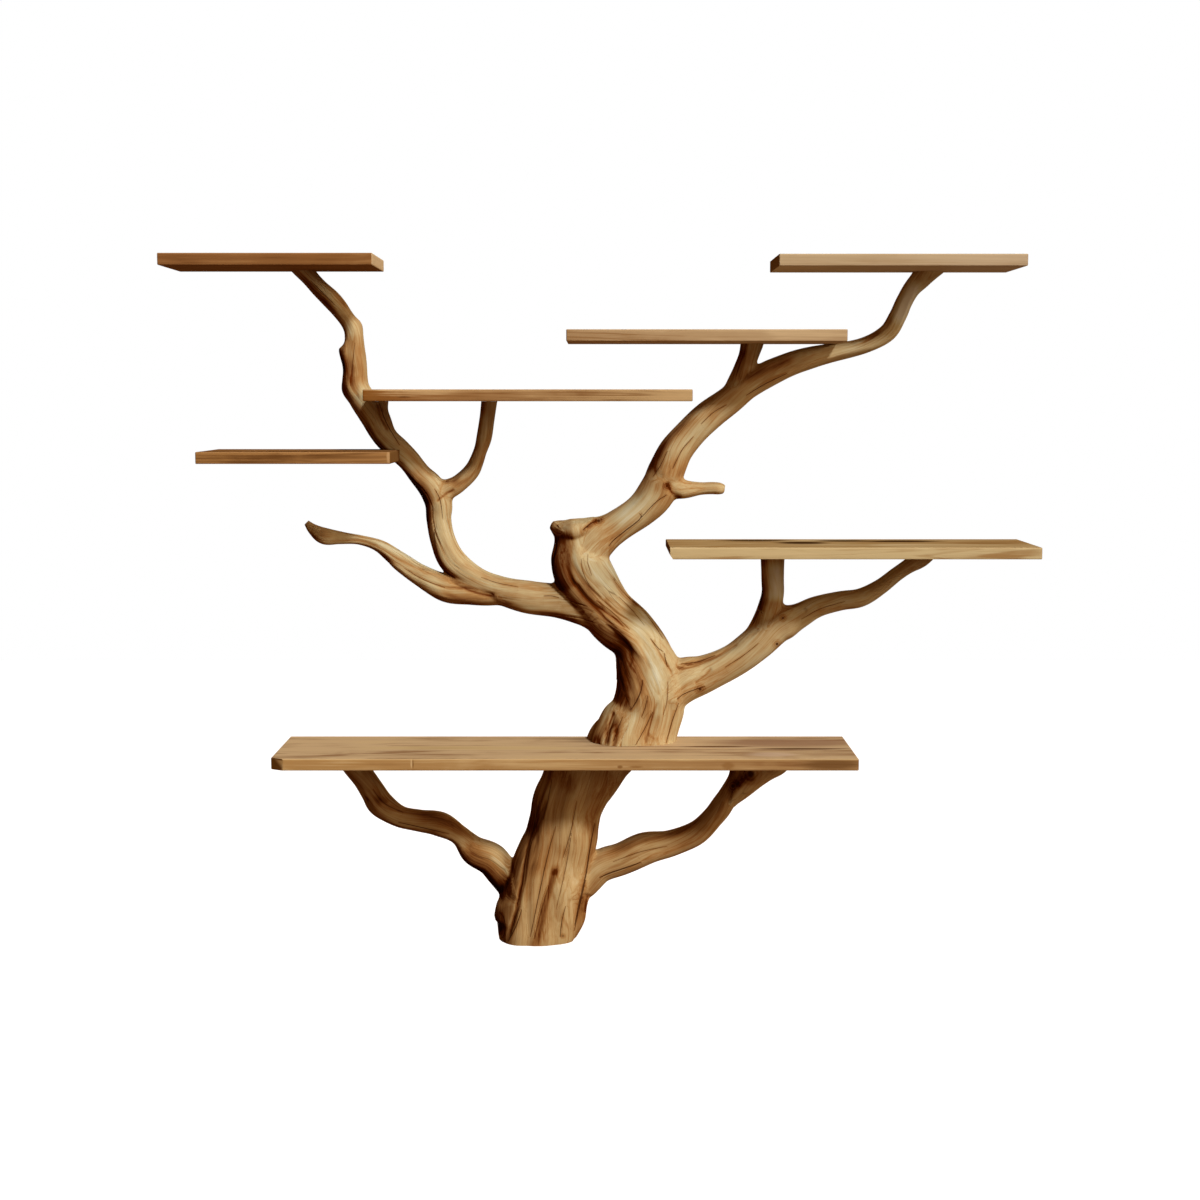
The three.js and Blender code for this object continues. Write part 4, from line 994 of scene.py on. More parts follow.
limbLooks = {
    "limb_wood": {
        "stops": [(0.0, "#270B01"), (0.2, "#622C08"), (0.4, "#A27949"), (0.58, "#BBA67A"),
                  (0.76, "#C8BF9F"), (1.0, "#D5D0BE")],
        "level": 0.53, "crack": "#3F1A05", "roughness": 0.6,
    },
    "lower_limb_wood": {
        "stops": [(0.0, "#200801"), (0.2, "#532305"), (0.4, "#916537"), (0.58, "#AF9162"),
                  (0.76, "#BFAA82"), (1.0, "#CFBF9C")],
        "level": 0.53, "crack": "#331304", "roughness": 0.64,
    },
}
paintedShadeWay = (-0.86, 0.0, -0.5)  # the side turned from the lamps, which is painted darker as shade
limbGrain = {  # scale along and across the grain, detail, roughness and distortion
    "broad": ((1.6, 15, 15), 2, 0.5, 0.5),
    "streak": ((3, 80, 80), 3, 0.55, 0.7),
    "fibre": ((16, 480, 480), 2, 0.5, 0),
    "layers": ((1.1, 24, 24), 1, 0.4, 0.4),
}
limbPattern = {  # scales, waves to a layer, a ring or a wobble, and shares of other patterns
    "check": (2.6, 46, 46), "patches": (6, 6, 6), "mottle": (34, 34, 34),
    "layers": 48, "rings": 12, "ringWobble": 4, "shadedFlankBroad": 0.5, "shadedFlankPatches": 0.4,
    "roughStreak": 0.2, "roughDark": 0.2, "bump": 0.5, "bumpDeep": 0.0015,
}
# The flank and hollow tones below are painted shade, and the stain tone is partly painted shade and
# highlight.
limbTones = {  # how much paler, or darker below 0, each pattern makes the wood
    "broad": 0.5, "streak": 0.31, "fibre": 0.24, "patches": 0.25, "mottle": 0.1, "rings": 0.04,
    "grainLine": -0.1, "shadedFlank": -0.28, "stain": -0.5, "hollow": -0.42, "halo": -0.07, "nearKnot": -0.12,
}
# The deep mark paints the deepest crevices nearly black, as shade.
limbDarks = {"check": 0.45, "crack": 0.85, "deep": 0.7, "knot": 0.9}  # shares of the crack's colour
limbHeights = {"streak": 0.4, "fibre": 0.16, "broad": 0.3, "grainLine": -0.2, "check": -0.4, "crack": -1}
limbEdges = {  # where each mark begins to show and where it is whole
    "shadedFlank": (0.14, 0.8), "check": (0.024, 0.006), "checkPatch": (0.58, 0.66), "crack": (0.72, 0.25),
    "halo": (4.0, 0.6), "nearKnot": (1.9, 0.7), "knot": (0.62, 0.15), "deep": (0.45, 1.0),
    "grainLine": (0.35, 1.0), "grainStreak": (0.35, 0.6),
}


def weighed(patterns, weights, start=0):
    # The patterns' sum, each at its weight.
    return sum((patterns[name] * weight for name, weight in weights.items()), start)


def limbMaterial(name, look):
    material, w = newMaterial(name)
    blend, hollow, stain, knot, crackSide = (
        w.attribute(given, "Fac") for given in ("flowBlend", "hollow", "stain", "knotReach", "crackSide"))
    place = w.add("ShaderNodeTexCoord", out="Object")
    normal = w.add("ShaderNodeTexCoord", out="Normal")

    def shown(mark, value):
        return w.step(*limbEdges[mark], value)

    def threaded(reader):
        first, second = (reader(w.attribute(thread)) for thread in ("flowA", "flowB"))
        return first + (second - first) * blend

    def checks(flow):
        settings = {"feature": "DISTANCE_TO_EDGE"}
        spot = w.scaled(flow, limbPattern["check"])
        return w.add("ShaderNodeTexVoronoi", settings, {"Vector": spot, "Scale": 1})

    def grown(scale, *character):
        return threaded(lambda flow: w.noise(w.scaled(flow, scale), *character))

    broad, streak, fibre, layers = (grown(*given) for given in limbGrain.values())
    check = threaded(checks)
    patches = w.noise(w.scaled(place, limbPattern["patches"]), 2)
    mottle = w.noise(w.scaled(place, limbPattern["mottle"]), 3)
    # Painted shade: faces turned to the left and down are darkened as though in shade.
    shadedFlank = w.add("ShaderNodeVectorMath", {"operation": "DOT_PRODUCT"}, {0: normal, 1: paintedShadeWay}, out=1)
    shadedFlank = shown("shadedFlank", shadedFlank + (broad - 0.5) * limbPattern["shadedFlankBroad"]
                  + (patches - 0.5) * limbPattern["shadedFlankPatches"])
    smallCheck = shown("check", check) * shown("checkPatch", patches)
    crack, halo = shown("crack", abs(crackSide)), shown("halo", abs(crackSide))
    rings = (knot * limbPattern["rings"] + mottle * limbPattern["ringWobble"]).math("SINE")
    nearKnot = shown("nearKnot", knot)
    waves = (layers * limbPattern["layers"] + mottle).math("SINE")
    grainLine = shown("grainLine", waves) * shown("grainStreak", streak)
    patterns = {
        "broad": broad - 0.5, "streak": streak - 0.5, "fibre": fibre - 0.5, "patches": patches - 0.5,
        "mottle": mottle - 0.5, "rings": rings * nearKnot, "grainLine": grainLine, "shadedFlank": shadedFlank,
        "stain": stain, "hollow": hollow, "halo": halo, "nearKnot": nearKnot,
    }
    tone = weighed(patterns, limbTones, look["level"])
    base = w.ramp(tone, look["stops"])
    # Painted shade: the hollows darken the wood, the deepest towards the crack's colour.
    marks = {"check": smallCheck, "crack": crack, "deep": shown("deep", hollow), "knot": shown("knot", knot)}
    dark = weighed(marks, limbDarks).clamped()
    painted = w.mixColour(dark, base, colour(look["crack"]))
    rough = (look["roughness"] + (streak - 0.5) * limbPattern["roughStreak"]
             + dark * limbPattern["roughDark"])
    heights = {"streak": streak, "fibre": fibre, "broad": broad, "grainLine": grainLine,
               "check": smallCheck, "crack": crack}
    bump = w.bump(limbPattern, weighed(heights, limbHeights))
    finishSurface(w, {"Base Color": painted, "Roughness": rough, "Normal": bump, "Specular IOR Level": 0})
    return material


limbMaterials = {name: limbMaterial(name, look) for name, look in limbLooks.items()}

knotOut = 0.06  # how far out from the wall the knots lie
knots = [  # pixel, radius in metres
    (502, 926, 0.008), (667, 486, 0.008), (783, 618, 0.007), (777, 644, 0.009), (700, 689, 0.01),
    (598.6, 520.7, 0.01), (631, 710, 0.004), (563, 936, 0.005), (751, 774, 0.02), (733, 786, 0.012),
]


def putAttributes(mesh):
    places = placesOf(mesh)
    chosen, blend, _ = threadFlows(places)
    _, valley = reliefAt(places, chosen, blend)
    pixels = toPicture(places)
    front = facing(mesh)
    _, furrow = furrowDepth(pixels)
    # Painted shade in the grain's valleys and in the furrows' cores.
    hollow = np.maximum(valley * relief["valleyDark"], furrow * front)
    crackSide = np.where(front > 0.5, crackLines(pixels), markForm["noCrack"])
    for name, grain in zip(("flowA", "flowB"), chosen):
        layer = mesh.attributes.new(name, "FLOAT_VECTOR", "POINT")
        layer.data.foreach_set("vector", grain.astype(np.float32).ravel())
    reach = np.full(len(places), farOff)
    for u, v, radius in knots:
        _, _, scale = fromPicture(u, v, knotOut)
        reach = np.minimum(reach, np.hypot(*(pixels - (u, v)).T) * scale / radius)
    reach = np.where(front > 0.5, reach, farOff)
    for name, given in (("flowBlend", blend), ("hollow", hollow), ("knotReach", reach),
                        ("stain", stainAndPaintedLightTone(pixels) * front), ("crackSide", crackSide)):
        layer = mesh.attributes.new(name, "FLOAT", "POINT")
        layer.data.foreach_set("value", given.astype(np.float32))


def looseParts(mesh):
    # A number for each point, the same in each part that hangs together.
    edges = edgesOf(mesh)
    label = np.arange(len(mesh.vertices))
    while True:
        low = np.minimum(label[edges[:, 0]], label[edges[:, 1]])
        fresh = label.copy()
        np.minimum.at(fresh, edges[:, 0], low)
        np.minimum.at(fresh, edges[:, 1], low)
        fresh = fresh[fresh]
        if (fresh == label).all():
            return label
        label = fresh


leastPoints = 800  # of a limb's piece, so that crumbs from the cuts are left out
sharpAngle = {"limb": 48, "board": 40}  # degrees past which an edge is shaded sharp
lowerLimbs = ("trunk_base", "left_brace", "right_brace")
limbNodes = ["trunk_base", "trunk_upper", "left_brace", "right_brace", "left_limb_lower", "left_limb_middle",
             "left_limb_top", "free_arm", "shelf3_twig", "right_limb_lower", "right_limb_middle",
             "right_limb_top", "shelf4_post", "right_arm_lower", "right_arm_tip", "shelf6_post"]


def splitTree():
    # The loose parts of the cut tree, each with the limb of the CAD whose box it fits best.
    mesh = tree.data
    label = looseParts(mesh)
    places = placesOf(mesh)
    corners = np.zeros(len(mesh.loops), np.int32)
    mesh.loops.foreach_get("vertex_index", corners)
    starts = np.zeros(len(mesh.polygons), np.int32)
    sizes = np.zeros(len(mesh.polygons), np.int32)
    mesh.polygons.foreach_get("loop_start", starts)
    mesh.polygons.foreach_get("loop_total", sizes)
    names, counts = np.unique(label, return_counts=True)
    big = [name for name, count in zip(names, counts) if count > leastPoints]
    fits = []
    for name in big:
        mine = places[label == name]
        for node in limbNodes:
            low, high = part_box(node)
            miss = max(np.abs(mine.min(0) - low).max(), np.abs(mine.max(0) - high).max())
            fits.append((miss, name, node))
    taken = {}
    for miss, name, node in sorted(fits):
        if name in taken.values() or node in taken:
            continue
        taken[node] = name
        print("limb piece", node, "off by", round(miss * 1000, 1), "mm")
    for node, name in taken.items():
        mine = np.flatnonzero(label == name)
        fresh = np.full(len(places), -1)
        fresh[mine] = np.arange(len(mine))
        wanted = np.flatnonzero(label[corners[starts]] == name)
        faces = [tuple(fresh[corners[starts[face]:starts[face] + sizes[face]]].tolist()) for face in wanted]
        yield node, linked(node + "_wood", meshFrom(node + "_wood", places[mine], faces))
    if len(taken) < len(limbNodes):
        raise RuntimeError("no piece for " + ", ".join(sorted(set(limbNodes) - set(taken))))


for node, part in splitTree():
    putAttributes(part.data)
    part.data.polygons.foreach_set("use_smooth", [True] * len(part.data.polygons))
    part.data.set_sharp_from_angle(angle=math.radians(sharpAngle["limb"]))
    finish = "lower_limb_wood" if node in lowerLimbs else "limb_wood"
    part.data.materials.append(limbMaterials[finish])
    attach(part, "root")
    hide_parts(node)
bpy.data.objects.remove(tree)
print("limbs dressed")


# Boards, each a block with eased edges and a slight wave from the plane.
boardForm = {
    "Easing": 0.0022, "Wave": 0.0002,
    "Crowding": 2.4,  # how much closer the rows lie towards the edges
    "Rows Along": 72, "Rows Deep": 26, "Rows Thick": 9,
}
boardWaves = (5, 9, 20)  # to the metre, along, deep and thick


def boardTree():
    group = bpy.data.node_groups.new("easedBoard", "GeometryNodeTree")
    group.interface.new_socket("Geometry", in_out="OUTPUT", socket_type="NodeSocketGeometry")
    for name, kind in (("Size", "NodeSocketVector"), ("Middle", "NodeSocketVector"),
                       ("Easing", "NodeSocketFloat"), ("Wave", "NodeSocketFloat"),
                       ("Crowding", "NodeSocketFloat"), ("Rows Along", "NodeSocketInt"),
                       ("Rows Deep", "NodeSocketInt"), ("Rows Thick", "NodeSocketInt"),
                       ("Seed", "NodeSocketFloat"), ("Finish", "NodeSocketMaterial")):
        group.interface.new_socket(name, in_out="INPUT", socket_type=kind)
    w = Wiring(group)
    entry = group.nodes.new("NodeGroupInput")
    given = {socket.name: Value(w, socket) for socket in entry.outputs if socket.name}
    cube = w.add("GeometryNodeMeshCube", sockets={
        "Size": (2, 2, 2), "Vertices X": given["Rows Along"], "Vertices Y": given["Rows Deep"],
        "Vertices Z": given["Rows Thick"]})
    spot = w.add("GeometryNodeInputPosition")
    parts = [w.add("ShaderNodeSeparateXYZ", sockets={0: spot}, out=axis) for axis in range(3)]
    crowded = [part.math("SIGN") * (1 - (1 - abs(part)).math("MAXIMUM", 0) ** given["Crowding"])
               for part in parts]
    unit = w.add("ShaderNodeCombineXYZ", sockets=dict(enumerate(crowded)))

    def vectors(operation, first, second):
        return w.add("ShaderNodeVectorMath", {"operation": operation}, {0: first, 1: second})

    half = vectors("MULTIPLY", given["Size"], (0.5, 0.5, 0.5))
    easing = w.add("ShaderNodeCombineXYZ", sockets={axis: given["Easing"] for axis in range(3)})
    inside = vectors("SUBTRACT", half, easing)
    outside = vectors("MULTIPLY", inside, (-1, -1, -1))
    square = vectors("MULTIPLY", unit, half)
    core = vectors("MAXIMUM", vectors("MINIMUM", square, inside), outside)
    way = w.add("ShaderNodeVectorMath", {"operation": "NORMALIZE"}, {0: vectors("SUBTRACT", square, core)})
    eased = vectors("ADD", core, vectors("MULTIPLY", way, easing))
    seeded = w.add("ShaderNodeCombineXYZ", sockets={0: given["Seed"], 1: given["Seed"], 2: 0.5})
    wavy = w.noise(vectors("ADD", vectors("MULTIPLY", eased, boardWaves), seeded), 2)
    inwards = (wavy - 1) * given["Wave"]
    push = w.add("ShaderNodeVectorMath", {"operation": "SCALE"}, {0: way, "Scale": inwards})
    place = vectors("ADD", vectors("ADD", eased, push), given["Middle"])
    shaped = w.add("GeometryNodeSetPosition", sockets={"Geometry": cube, "Position": place})
    smooth = w.add("GeometryNodeSetShadeSmooth", sockets={"Geometry": shaped, "Shade Smooth": True})
    real = w.add("GeometryNodeRealizeInstances", sockets={"Geometry": smooth})
    dressed = w.add("GeometryNodeSetMaterial", sockets={"Geometry": real, "Material": given["Finish"]})
    exitNode = group.nodes.new("NodeGroupOutput")
    group.links.new(dressed.socket, exitNode.inputs["Geometry"])
    return group


def setInputs(modifier, values):
    for item in modifier.node_group.interface.items_tree:
        if item.in_out == "INPUT" and item.name in values:
            modifier[item.identifier] = values[item.name]


# Colours at the left and right ends, of the top, of the dark and pale grain, and of the ends. The top's
# colour
# is painted light and shade: a board's top is set darker or paler than its front to match how it is lit. A
# mark is an
# oval on the front or the top: its middle, half its width and height in pixels, its colour and strength;
# some marks are painted shadow, shade or highlight, as noted.
boards = {
    "shelf_top_left": {
        "slot": "brown_board", "seed": 1.0, "pins": ["pin_top_left"], "contrast": 0.6,
        "left": "#895D35", "right": "#875B31", "top": "#7E5430", "dark": "#5E3615", "pale": "#A87C4C",
        "end": "#D2B78E", "marks": [],
    },
    "shelf_left_lower": {
        "slot": "brown_board", "seed": 2.3, "pins": ["pin_left_lower"], "contrast": 0.9,
        "left": "#986D3D", "right": "#A27646", "top": "#7E542B", "dark": "#65401E", "pale": "#B2885A",
        # Painted shadow: the dark strip along the back of the top; painted highlight: the pale line on the
        # front's rounded right corner.
        "end": "#7C5830", "marks": [("top", 290, 448.4, 110, 0.7, "#2E1706", 0.9),
                                    ("front", 388.5, 457, 2.5, 8, "#C09A6A", 0.8)],
    },
    "shelf_middle_left": {
        "slot": "pale_board", "seed": 3.1, "pins": ["pin_middle_left_fork", "pin_middle_left_twig"],
        "contrast": 0.8,
        "left": "#84501D", "right": "#BC9C6E", "top": "#B48E60", "dark": "#7B5026", "pale": "#C9A675",
        "end": "#8B6238", "marks": [("front", 404, 397, 8, 1.2, "#6B4320", 0.8),
                                    ("front", 372, 394, 10, 8, "#8A5C2C", 0.5)],
    },
    "shelf_upper_middle": {
        "slot": "pale_board", "seed": 4.7, "pins": ["pin_upper_middle_post", "pin_upper_middle_seat"],
        "contrast": 0.8,
        "left": "#AE8E66", "right": "#B69972", "top": "#B79870", "dark": "#8A6238", "pale": "#CCB086",
        # Painted shade: a dark line along the bottom of the front.
        "end": "#8B6238", "marks": [("front", 700, 344.5, 260, 1.6, "#6B4824", 0.9)],
    },
    "shelf_top_right": {
        "slot": "pale_board", "seed": 5.9, "pins": ["pin_top_right"], "contrast": 0.35,
        "left": "#BBA37E", "right": "#BDA685", "top": "#B79870", "dark": "#94703F", "pale": "#CFB790",
        "end": "#8B6238", "marks": [],
    },
    "shelf_middle_right": {
        "slot": "pale_board", "seed": 6.4, "pins": ["pin_middle_right_post", "pin_middle_right_tip"],
        "contrast": 0.8,
        "left": "#C3AB7C", "right": "#C4AF82", "top": "#A3804E", "dark": "#946A38", "pale": "#D2BA8C",
        "end": "#7A4E22", "marks": [("top", 756, 540.6, 46, 1.2, "#3A2009", 0.9),
                                    ("top", 802, 542.8, 32, 1.7, "#3A2009", 0.95),
                                    ("top", 842, 540.8, 40, 1.2, "#3A2009", 0.9),
                                    ("top", 900, 541.2, 52, 1.3, "#3A2009", 0.95),
                                    ("top", 985, 543, 40, 1.6, "#8F6C3E", 0.6)],
    },
    "shelf_bottom": {
        "slot": "pale_board", "seed": 7.2, "contrast": 0.65,
        "pins": ["pin_bottom_left", "pin_bottom_right", "trunk_dowel_back", "trunk_dowel_front"],
        "left": "#A9824F", "right": "#A17C50", "top": "#CDB086", "dark": "#764A24", "pale": "#CCAE7C",
        "end": "#6E4419", "marks": [
            ("top", 790, 743, 110, 6, "#8F6A4E", 0.75), ("top", 716, 746.6, 44, 1.1, "#5E3820", 0.85),
            # The pale oval at 772 across on this line is a painted sheen on the top.
            ("top", 800, 748.8, 62, 1.2, "#4E2C14", 0.85), ("top", 772, 754.5, 32, 3, "#C9AE92", 0.6),
            ("front", 832, 765, 44, 7, "#6E4B28", 0.85), ("front", 728, 766, 8, 5, "#8A6134", 0.7),
            ("front", 620, 767, 4, 2.2, "#7A5026", 0.8), ("front", 636, 767, 10, 1.6, "#8A6134", 0.7),
            ("front", 411.3, 763.5, 1.0, 7, "#D0B283", 0.7), ("front", 413, 763.5, 0.8, 7, "#6E4A24", 0.8),
            ("top", 470, 748, 150, 2.5, "#C9AC76", 0.6)],
    },
}
markDeep = {"front": 0.012, "top": 0.006}  # how far into the wood an oval mark goes
boardGrain = {  # scale, which ways the board's seed shifts it, detail, roughness and distortion
    "broad": ((0.9, 8, 11), (1, 1, 0), 2, 0.5, 0.8),
    "patches": ((4.5, 11, 16), (1, 0, 1), 3, 0.55, 0.6),
    "streak": ((1.6, 60, 80), (1, 0, 1), 4, 0.6, 1.0),
    "layers": ((0.7, 12, 24), (0, 1, 1), 2, 0.5, 0.6),
    "fibre": ((12, 620, 620), (0, 0, 0), 2, 0.6, 0),
}
# How much paler, or darker below 0, each pattern makes a board, and how far it stands out.
boardTones = {"broad": 1.1, "patches": 1.1, "streak": 0.9, "fibre": 0.35, "grainLine": -0.2}
boardHeights = {"streak": 0.5, "fibre": 0.4, "grainLine": -0.2}
boardLevel = 0.05  # the tone where the patterns are even; above 0 it is paler than the plain colour
boardEdges = {  # where each thing begins to show and where it is whole
    "end": (0.3, 0.5), "upper": (0.6, 0.85), "grainLine": (0.3, 1.0), "dark": (0, -0.42), "pale": (0, 0.42),
    "mark": (1.0, 0.4), "arrisDown": (0.0035, 0.001), "arrisIn": (0.006, 0.002),
}
boardPattern = {"layers": 50, "layerWobble": 3, "upper": 0.8, "arrisHighlight": 0.5, "markWobble": 0.8,
                "endGrain": (40, 60, 420), "endShade": 0.7, "rough": 0.56, "roughStreak": 0.2,
                "bump": 0.5, "bumpDeep": 0.0008}


def boardMark(w, place, wobble, oval, low, high):
    # How far each place lies in an oval mark that the photograph shows on a board's front or top.
    face, u, v, across, tall = oval
    if face == "front":
        x, z, scale = fromPicture(u, v, -low.y)
        middle, size = (x, low.y, z), (across * scale, markDeep[face], tall * scale)
    else:
        middle = onTop(u, v, high.z)
        reached = (onTop(u + across, v, high.z), onTop(u, v + tall, high.z))
        size = [(middle - spot).length for spot in reached] + [markDeep[face]]
    scale = tuple(1 / part for part in size)
    offset = w.scaled(place, scale, tuple(-part / whole for part, whole in zip(middle, size)))
    reach = w.add("ShaderNodeVectorMath", {"operation": "LENGTH"}, {0: offset}, out=1)
    return w.step(*boardEdges["mark"], reach + (wobble - 0.5) * boardPattern["markWobble"])


def boardMaterial(name, look, low, high):
    material, w = newMaterial(name)
    place = w.add("ShaderNodeTexCoord", out="Object")
    normal = w.add("ShaderNodeTexCoord", out="Normal")

    def shown(mark, value):
        return w.step(*boardEdges[mark], value)

    def grown(scale, ways, *character):
        return w.noise(w.scaled(place, scale, tuple(look["seed"] * way for way in ways)), *character)

    broad, patches, streak, layers, fibre = (grown(*given) for given in boardGrain.values())
    along, out, up = (w.add("ShaderNodeSeparateXYZ", sockets={0: place}, out=axis) for axis in range(3))
    facings = [w.add("ShaderNodeSeparateXYZ", sockets={0: normal}, out=axis) for axis in range(3)]
    ending = shown("end", abs(facings[0]))
    upper = shown("upper", facings[2])
    share = (along - low.x) / (high.x - low.x)
    plain = w.mixColour(share.clamped(), colour(look["left"]), colour(look["right"]))
    # Painted light and shade: faces turned up take the top's colour.
    plain = w.mixColour(upper * boardPattern["upper"], plain, colour(look["top"]))
    waves = layers * boardPattern["layers"] + streak * boardPattern["layerWobble"]
    grainLine = shown("grainLine", waves.math("SINE"))
    patterns = {"broad": broad - 0.5, "patches": patches - 0.5, "streak": streak - 0.5,
                "fibre": fibre - 0.5, "grainLine": grainLine}
    tone = weighed(patterns, boardTones, boardLevel)
    darker, paler = (shown(way, tone) * look["contrast"] for way in ("dark", "pale"))
    grained = w.mixColour(paler, w.mixColour(darker, plain, colour(look["dark"])), colour(look["pale"]))
    for *oval, code, strength in look["marks"]:
        marked = boardMark(w, place, streak, oval, low, high) * strength
        grained = w.mixColour(marked, grained, colour(code))
    # Painted highlight: a pale line along the top front arris.
    arrisHighlight = shown("arrisDown", high.z - up) * shown("arrisIn", out - low.y)
    grained = w.mixColour(arrisHighlight * boardPattern["arrisHighlight"], grained, colour(look["pale"]))
    endGrain = w.noise(w.scaled(place, boardPattern["endGrain"]), 3)
    ended = w.mixColour(endGrain, colour(look["end"], boardPattern["endShade"]), colour(look["end"]))
    painted = w.mixColour(ending, grained, ended)
    heights = {"streak": streak, "fibre": fibre, "grainLine": grainLine}
    bump = w.bump(boardPattern, weighed(heights, boardHeights))
    rough = boardPattern["rough"] + (streak - 0.5) * boardPattern["roughStreak"]
    finishSurface(w, {"Base Color": painted, "Roughness": rough, "Normal": bump, "Specular IOR Level": 0})
    return material


# Corners cut off at the left, upright or lying: which two axes, and how far along each.
wedges = {"shelf_bottom": ((0, 1), 0.03, 0.018), "shelf_middle_right": ((0, 2), 0.008, 0.012)}
wedgeReach = {"over": 0.01, "far": 0.4}  # how far the cut runs past the corner and along the board


def cornerWedge(low, axes, along, deep):
    over = wedgeReach["over"]
    flat = [(-over, -over), (along * (1 + over / deep), -over), (-over, deep * (1 + over / along))]
    places = []
    for far in (-over, wedgeReach["far"]):
        for corner in flat:
            spot = [low[axis] + far for axis in range(3)]
            for axis, reach in zip(axes, corner):
                spot[axis] = low[axis] + reach
            places.append(tuple(spot))
    faces = [(0, 2, 1), (3, 4, 5), (0, 1, 4, 3), (1, 2, 5, 4), (2, 0, 3, 5)]
    return cutterFrom("cornerWedge", [(places, faces)])


def buildBoards():
    group = boardTree()
    for name, board in boards.items():
        low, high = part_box(name)
        finish = boardMaterial(name + "_finish", board, low, high)
        part = linked(name + "_wood", bpy.data.meshes.new(name + "_wood"))
        modifier = part.modifiers.new("easedBoard", "NODES")
        modifier.node_group = group
        setInputs(modifier, {
            "Size": tuple(high - low), "Middle": tuple((high + low) / 2), "Seed": board["seed"],
            "Finish": finish, **boardForm})
        settle(part)
        cutters = [cutterFrom("pinHoles", bores(board["pins"]))]
        if name in wedges:
            cutters.append(cornerWedge(low, *wedges[name]))
        cutBy(part, cutters)
        part.data.materials.clear()
        part.data.materials.append(finish)
        part.data.set_sharp_from_angle(angle=math.radians(sharpAngle["board"]))
        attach(part, "root")
        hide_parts(name)
        print("board", name, len(part.data.polygons))


buildBoards()


# Dowels, pins, plates and screws keep the CAD's own forms.
dowelLook = {"streak": (60, 260, 60), "stops": [(0.3, "#A98352"), (0.6, "#CFAE7C")],
             "rough": 0.6, "roughStreak": 0.2, "bump": 0.4, "bumpDeep": 0.0004}
steelLook = {"lines": (2500, 900, 60), "wear": (160, 160, 160), "dark": "#6C6F73", "pale": "#94979B",
             "rough": 0.3, "roughLines": 0.2, "bump": 0.3, "bumpDeep": 0.0002}


def dowelMaterial():
    material, w = newMaterial("dowelBeech")
    place = w.add("ShaderNodeTexCoord", out="Object")
    streak = w.noise(w.scaled(place, dowelLook["streak"]), 4)
    base = w.ramp(streak, dowelLook["stops"])
    rough = dowelLook["rough"] + (streak - 0.5) * dowelLook["roughStreak"]
    finishSurface(w, {"Base Color": base, "Roughness": rough, "Normal": w.bump(dowelLook, streak)})
    return material


def steelMaterial():
    material, w = newMaterial("brushedSteel")
    place = w.add("ShaderNodeTexCoord", out="Object")
    lines = w.noise(w.scaled(place, steelLook["lines"]), 3)
    wear = w.noise(w.scaled(place, steelLook["wear"]), 3)
    base = w.mixColour(wear, colour(steelLook["dark"]), colour(steelLook["pale"]))
    rough = steelLook["rough"] + lines * steelLook["roughLines"]
    finishSurface(w, {"Base Color": base, "Metallic": 1.0, "Roughness": rough,
                      "Normal": w.bump(steelLook, lines)})
    return material


def dressSmallParts():
    wood, steel = dowelMaterial(), steelMaterial()
    for name in dowelNames + plateNames + screwNames:
        kept = nodes[name]
        kept.data.materials.clear()
        kept.data.materials.append(wood if name in dowelNames else steel)


dressSmallParts()
print("small parts dressed")


# Studio.
studio = {
    "floorHeight": -6.0, "floorReach": 40, "floorTint": (0.26, 0.17, 0.11, 1), "floorLift": 0.35,
    "skyStrength": 0.16, "skyTint": (1, 0.54, 0.24, 1),
    # Each lamp's name, the way to it, its strength, how wide it looks in degrees, and its tint.
    "lamps": [("key", (0.6, -1.0, 0.98), 2.9, 7, (0.955, 1.01, 1.07)),
              ("side", (1.0, -0.6, 0.35), 1.45, 25, (1, 0.79, 0.57)),
              ("back", (0, 1.0, 0), 1.5, 20, (1, 0.94, 0.86))],
}


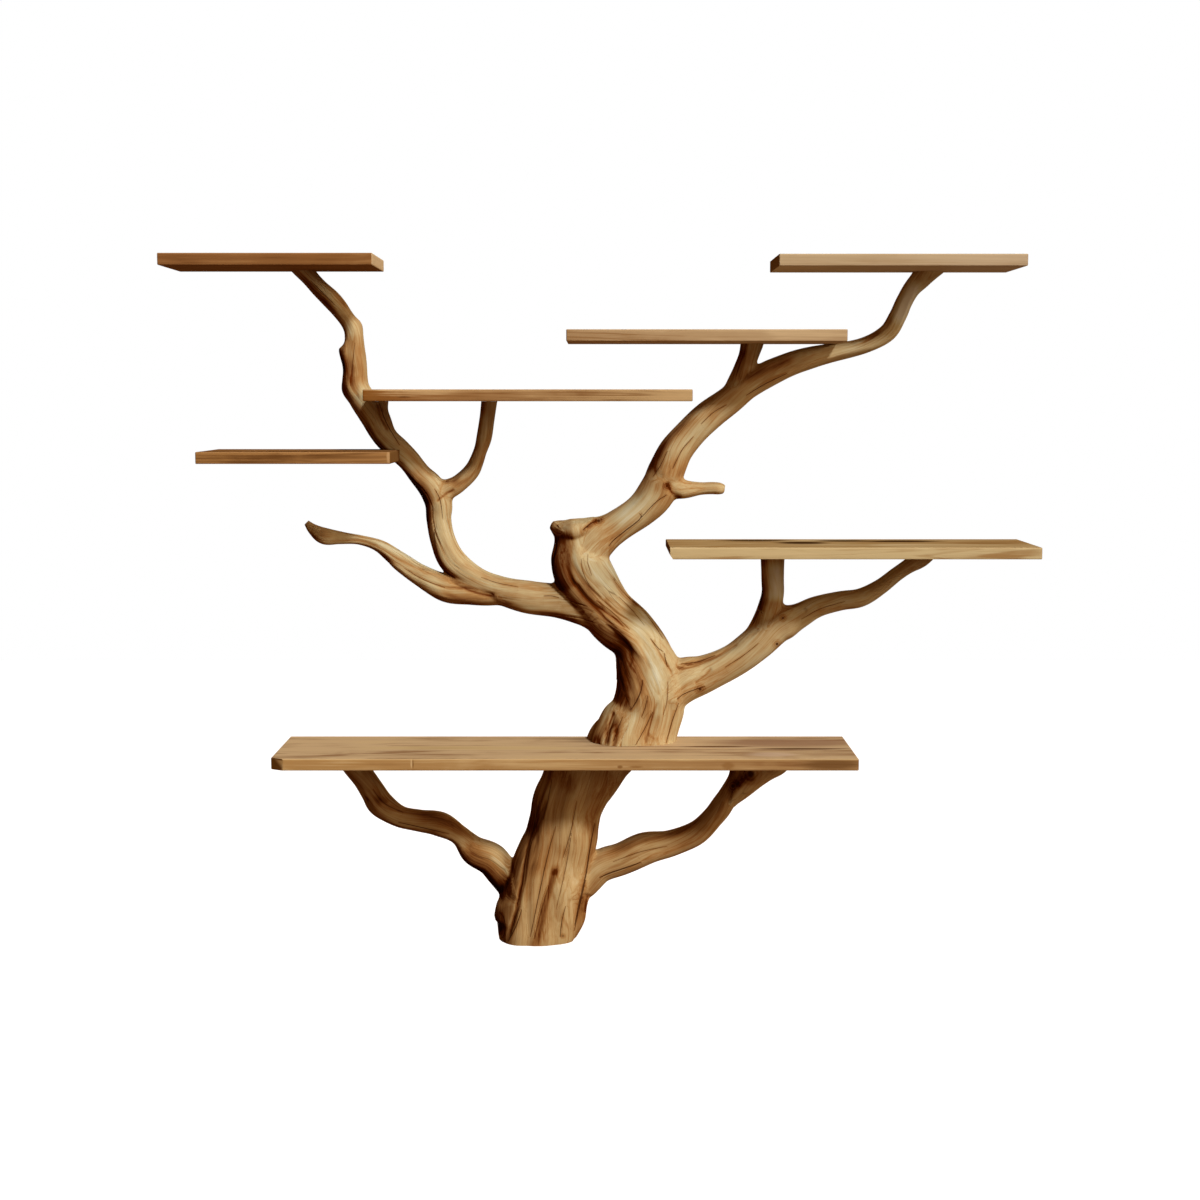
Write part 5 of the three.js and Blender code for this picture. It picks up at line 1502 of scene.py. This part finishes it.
def buildStudio():
    scene = bpy.context.scene
    reach, height = studio["floorReach"], studio["floorHeight"]
    floor = linked("floor", meshFrom("floor", [
        (-reach, -reach, height), (reach, -reach, height), (reach, reach, height), (-reach, reach, height)],
        [(0, 1, 2, 3)]))
    material, w = newMaterial("paleFloor")
    light = w.add("ShaderNodeLightPath", out="Is Camera Ray")
    pale = w.mixColour(light, studio["floorTint"], (1, 1, 1, 1))
    diffuse = w.add("ShaderNodeBsdfDiffuse", sockets={"Color": pale})
    lift = w.add("ShaderNodeEmission", sockets={"Strength": light * studio["floorLift"]})
    both = w.add("ShaderNodeAddShader", sockets={0: diffuse, 1: lift})
    w.add("ShaderNodeOutputMaterial", sockets={"Surface": both})
    floor.data.materials.append(material)

    world = bpy.data.worlds.new("studioSky")
    scene.world = world
    world.use_nodes = True
    world.node_tree.nodes.clear()
    w = Wiring(world.node_tree)
    seen = [w.add("ShaderNodeLightPath", out=ray) for ray in (
        "Is Camera Ray", "Is Glossy Ray", "Is Transmission Ray")]
    shown = seen[0].math("MAXIMUM", seen[1]).math("MAXIMUM", seen[2])
    strength = studio["skyStrength"] + (1 - studio["skyStrength"]) * shown
    tint = w.mixColour(shown, studio["skyTint"], (1, 1, 1, 1))
    sky = w.add("ShaderNodeBackground", sockets={"Color": tint, "Strength": strength})
    w.add("ShaderNodeOutputWorld", sockets={"Surface": sky})

    for name, way, strength, angle, tint in studio["lamps"]:
        sun = bpy.data.lights.new(name, "SUN")
        sun.energy = strength
        sun.angle = math.radians(angle)
        sun.color = tint
        lamp = linked(name, sun)
        lamp.rotation_euler = Vector(way).to_track_quat("Z", "Y").to_euler()

    camera = bpy.data.cameras.new("camera")
    camera.sensor_width = picture["sensor"]
    camera.lens = camera.sensor_width * picture["focal"] / picture["side"]
    view = bpy.data.objects.new("camera", camera)
    scene.collection.objects.link(view)
    view.location = cameraPlace
    view.rotation_euler = (math.pi / 2 - pitch, 0, 0)
    scene.camera = view
    scene.view_settings.view_transform = "Standard"


buildStudio()
print("studio built")
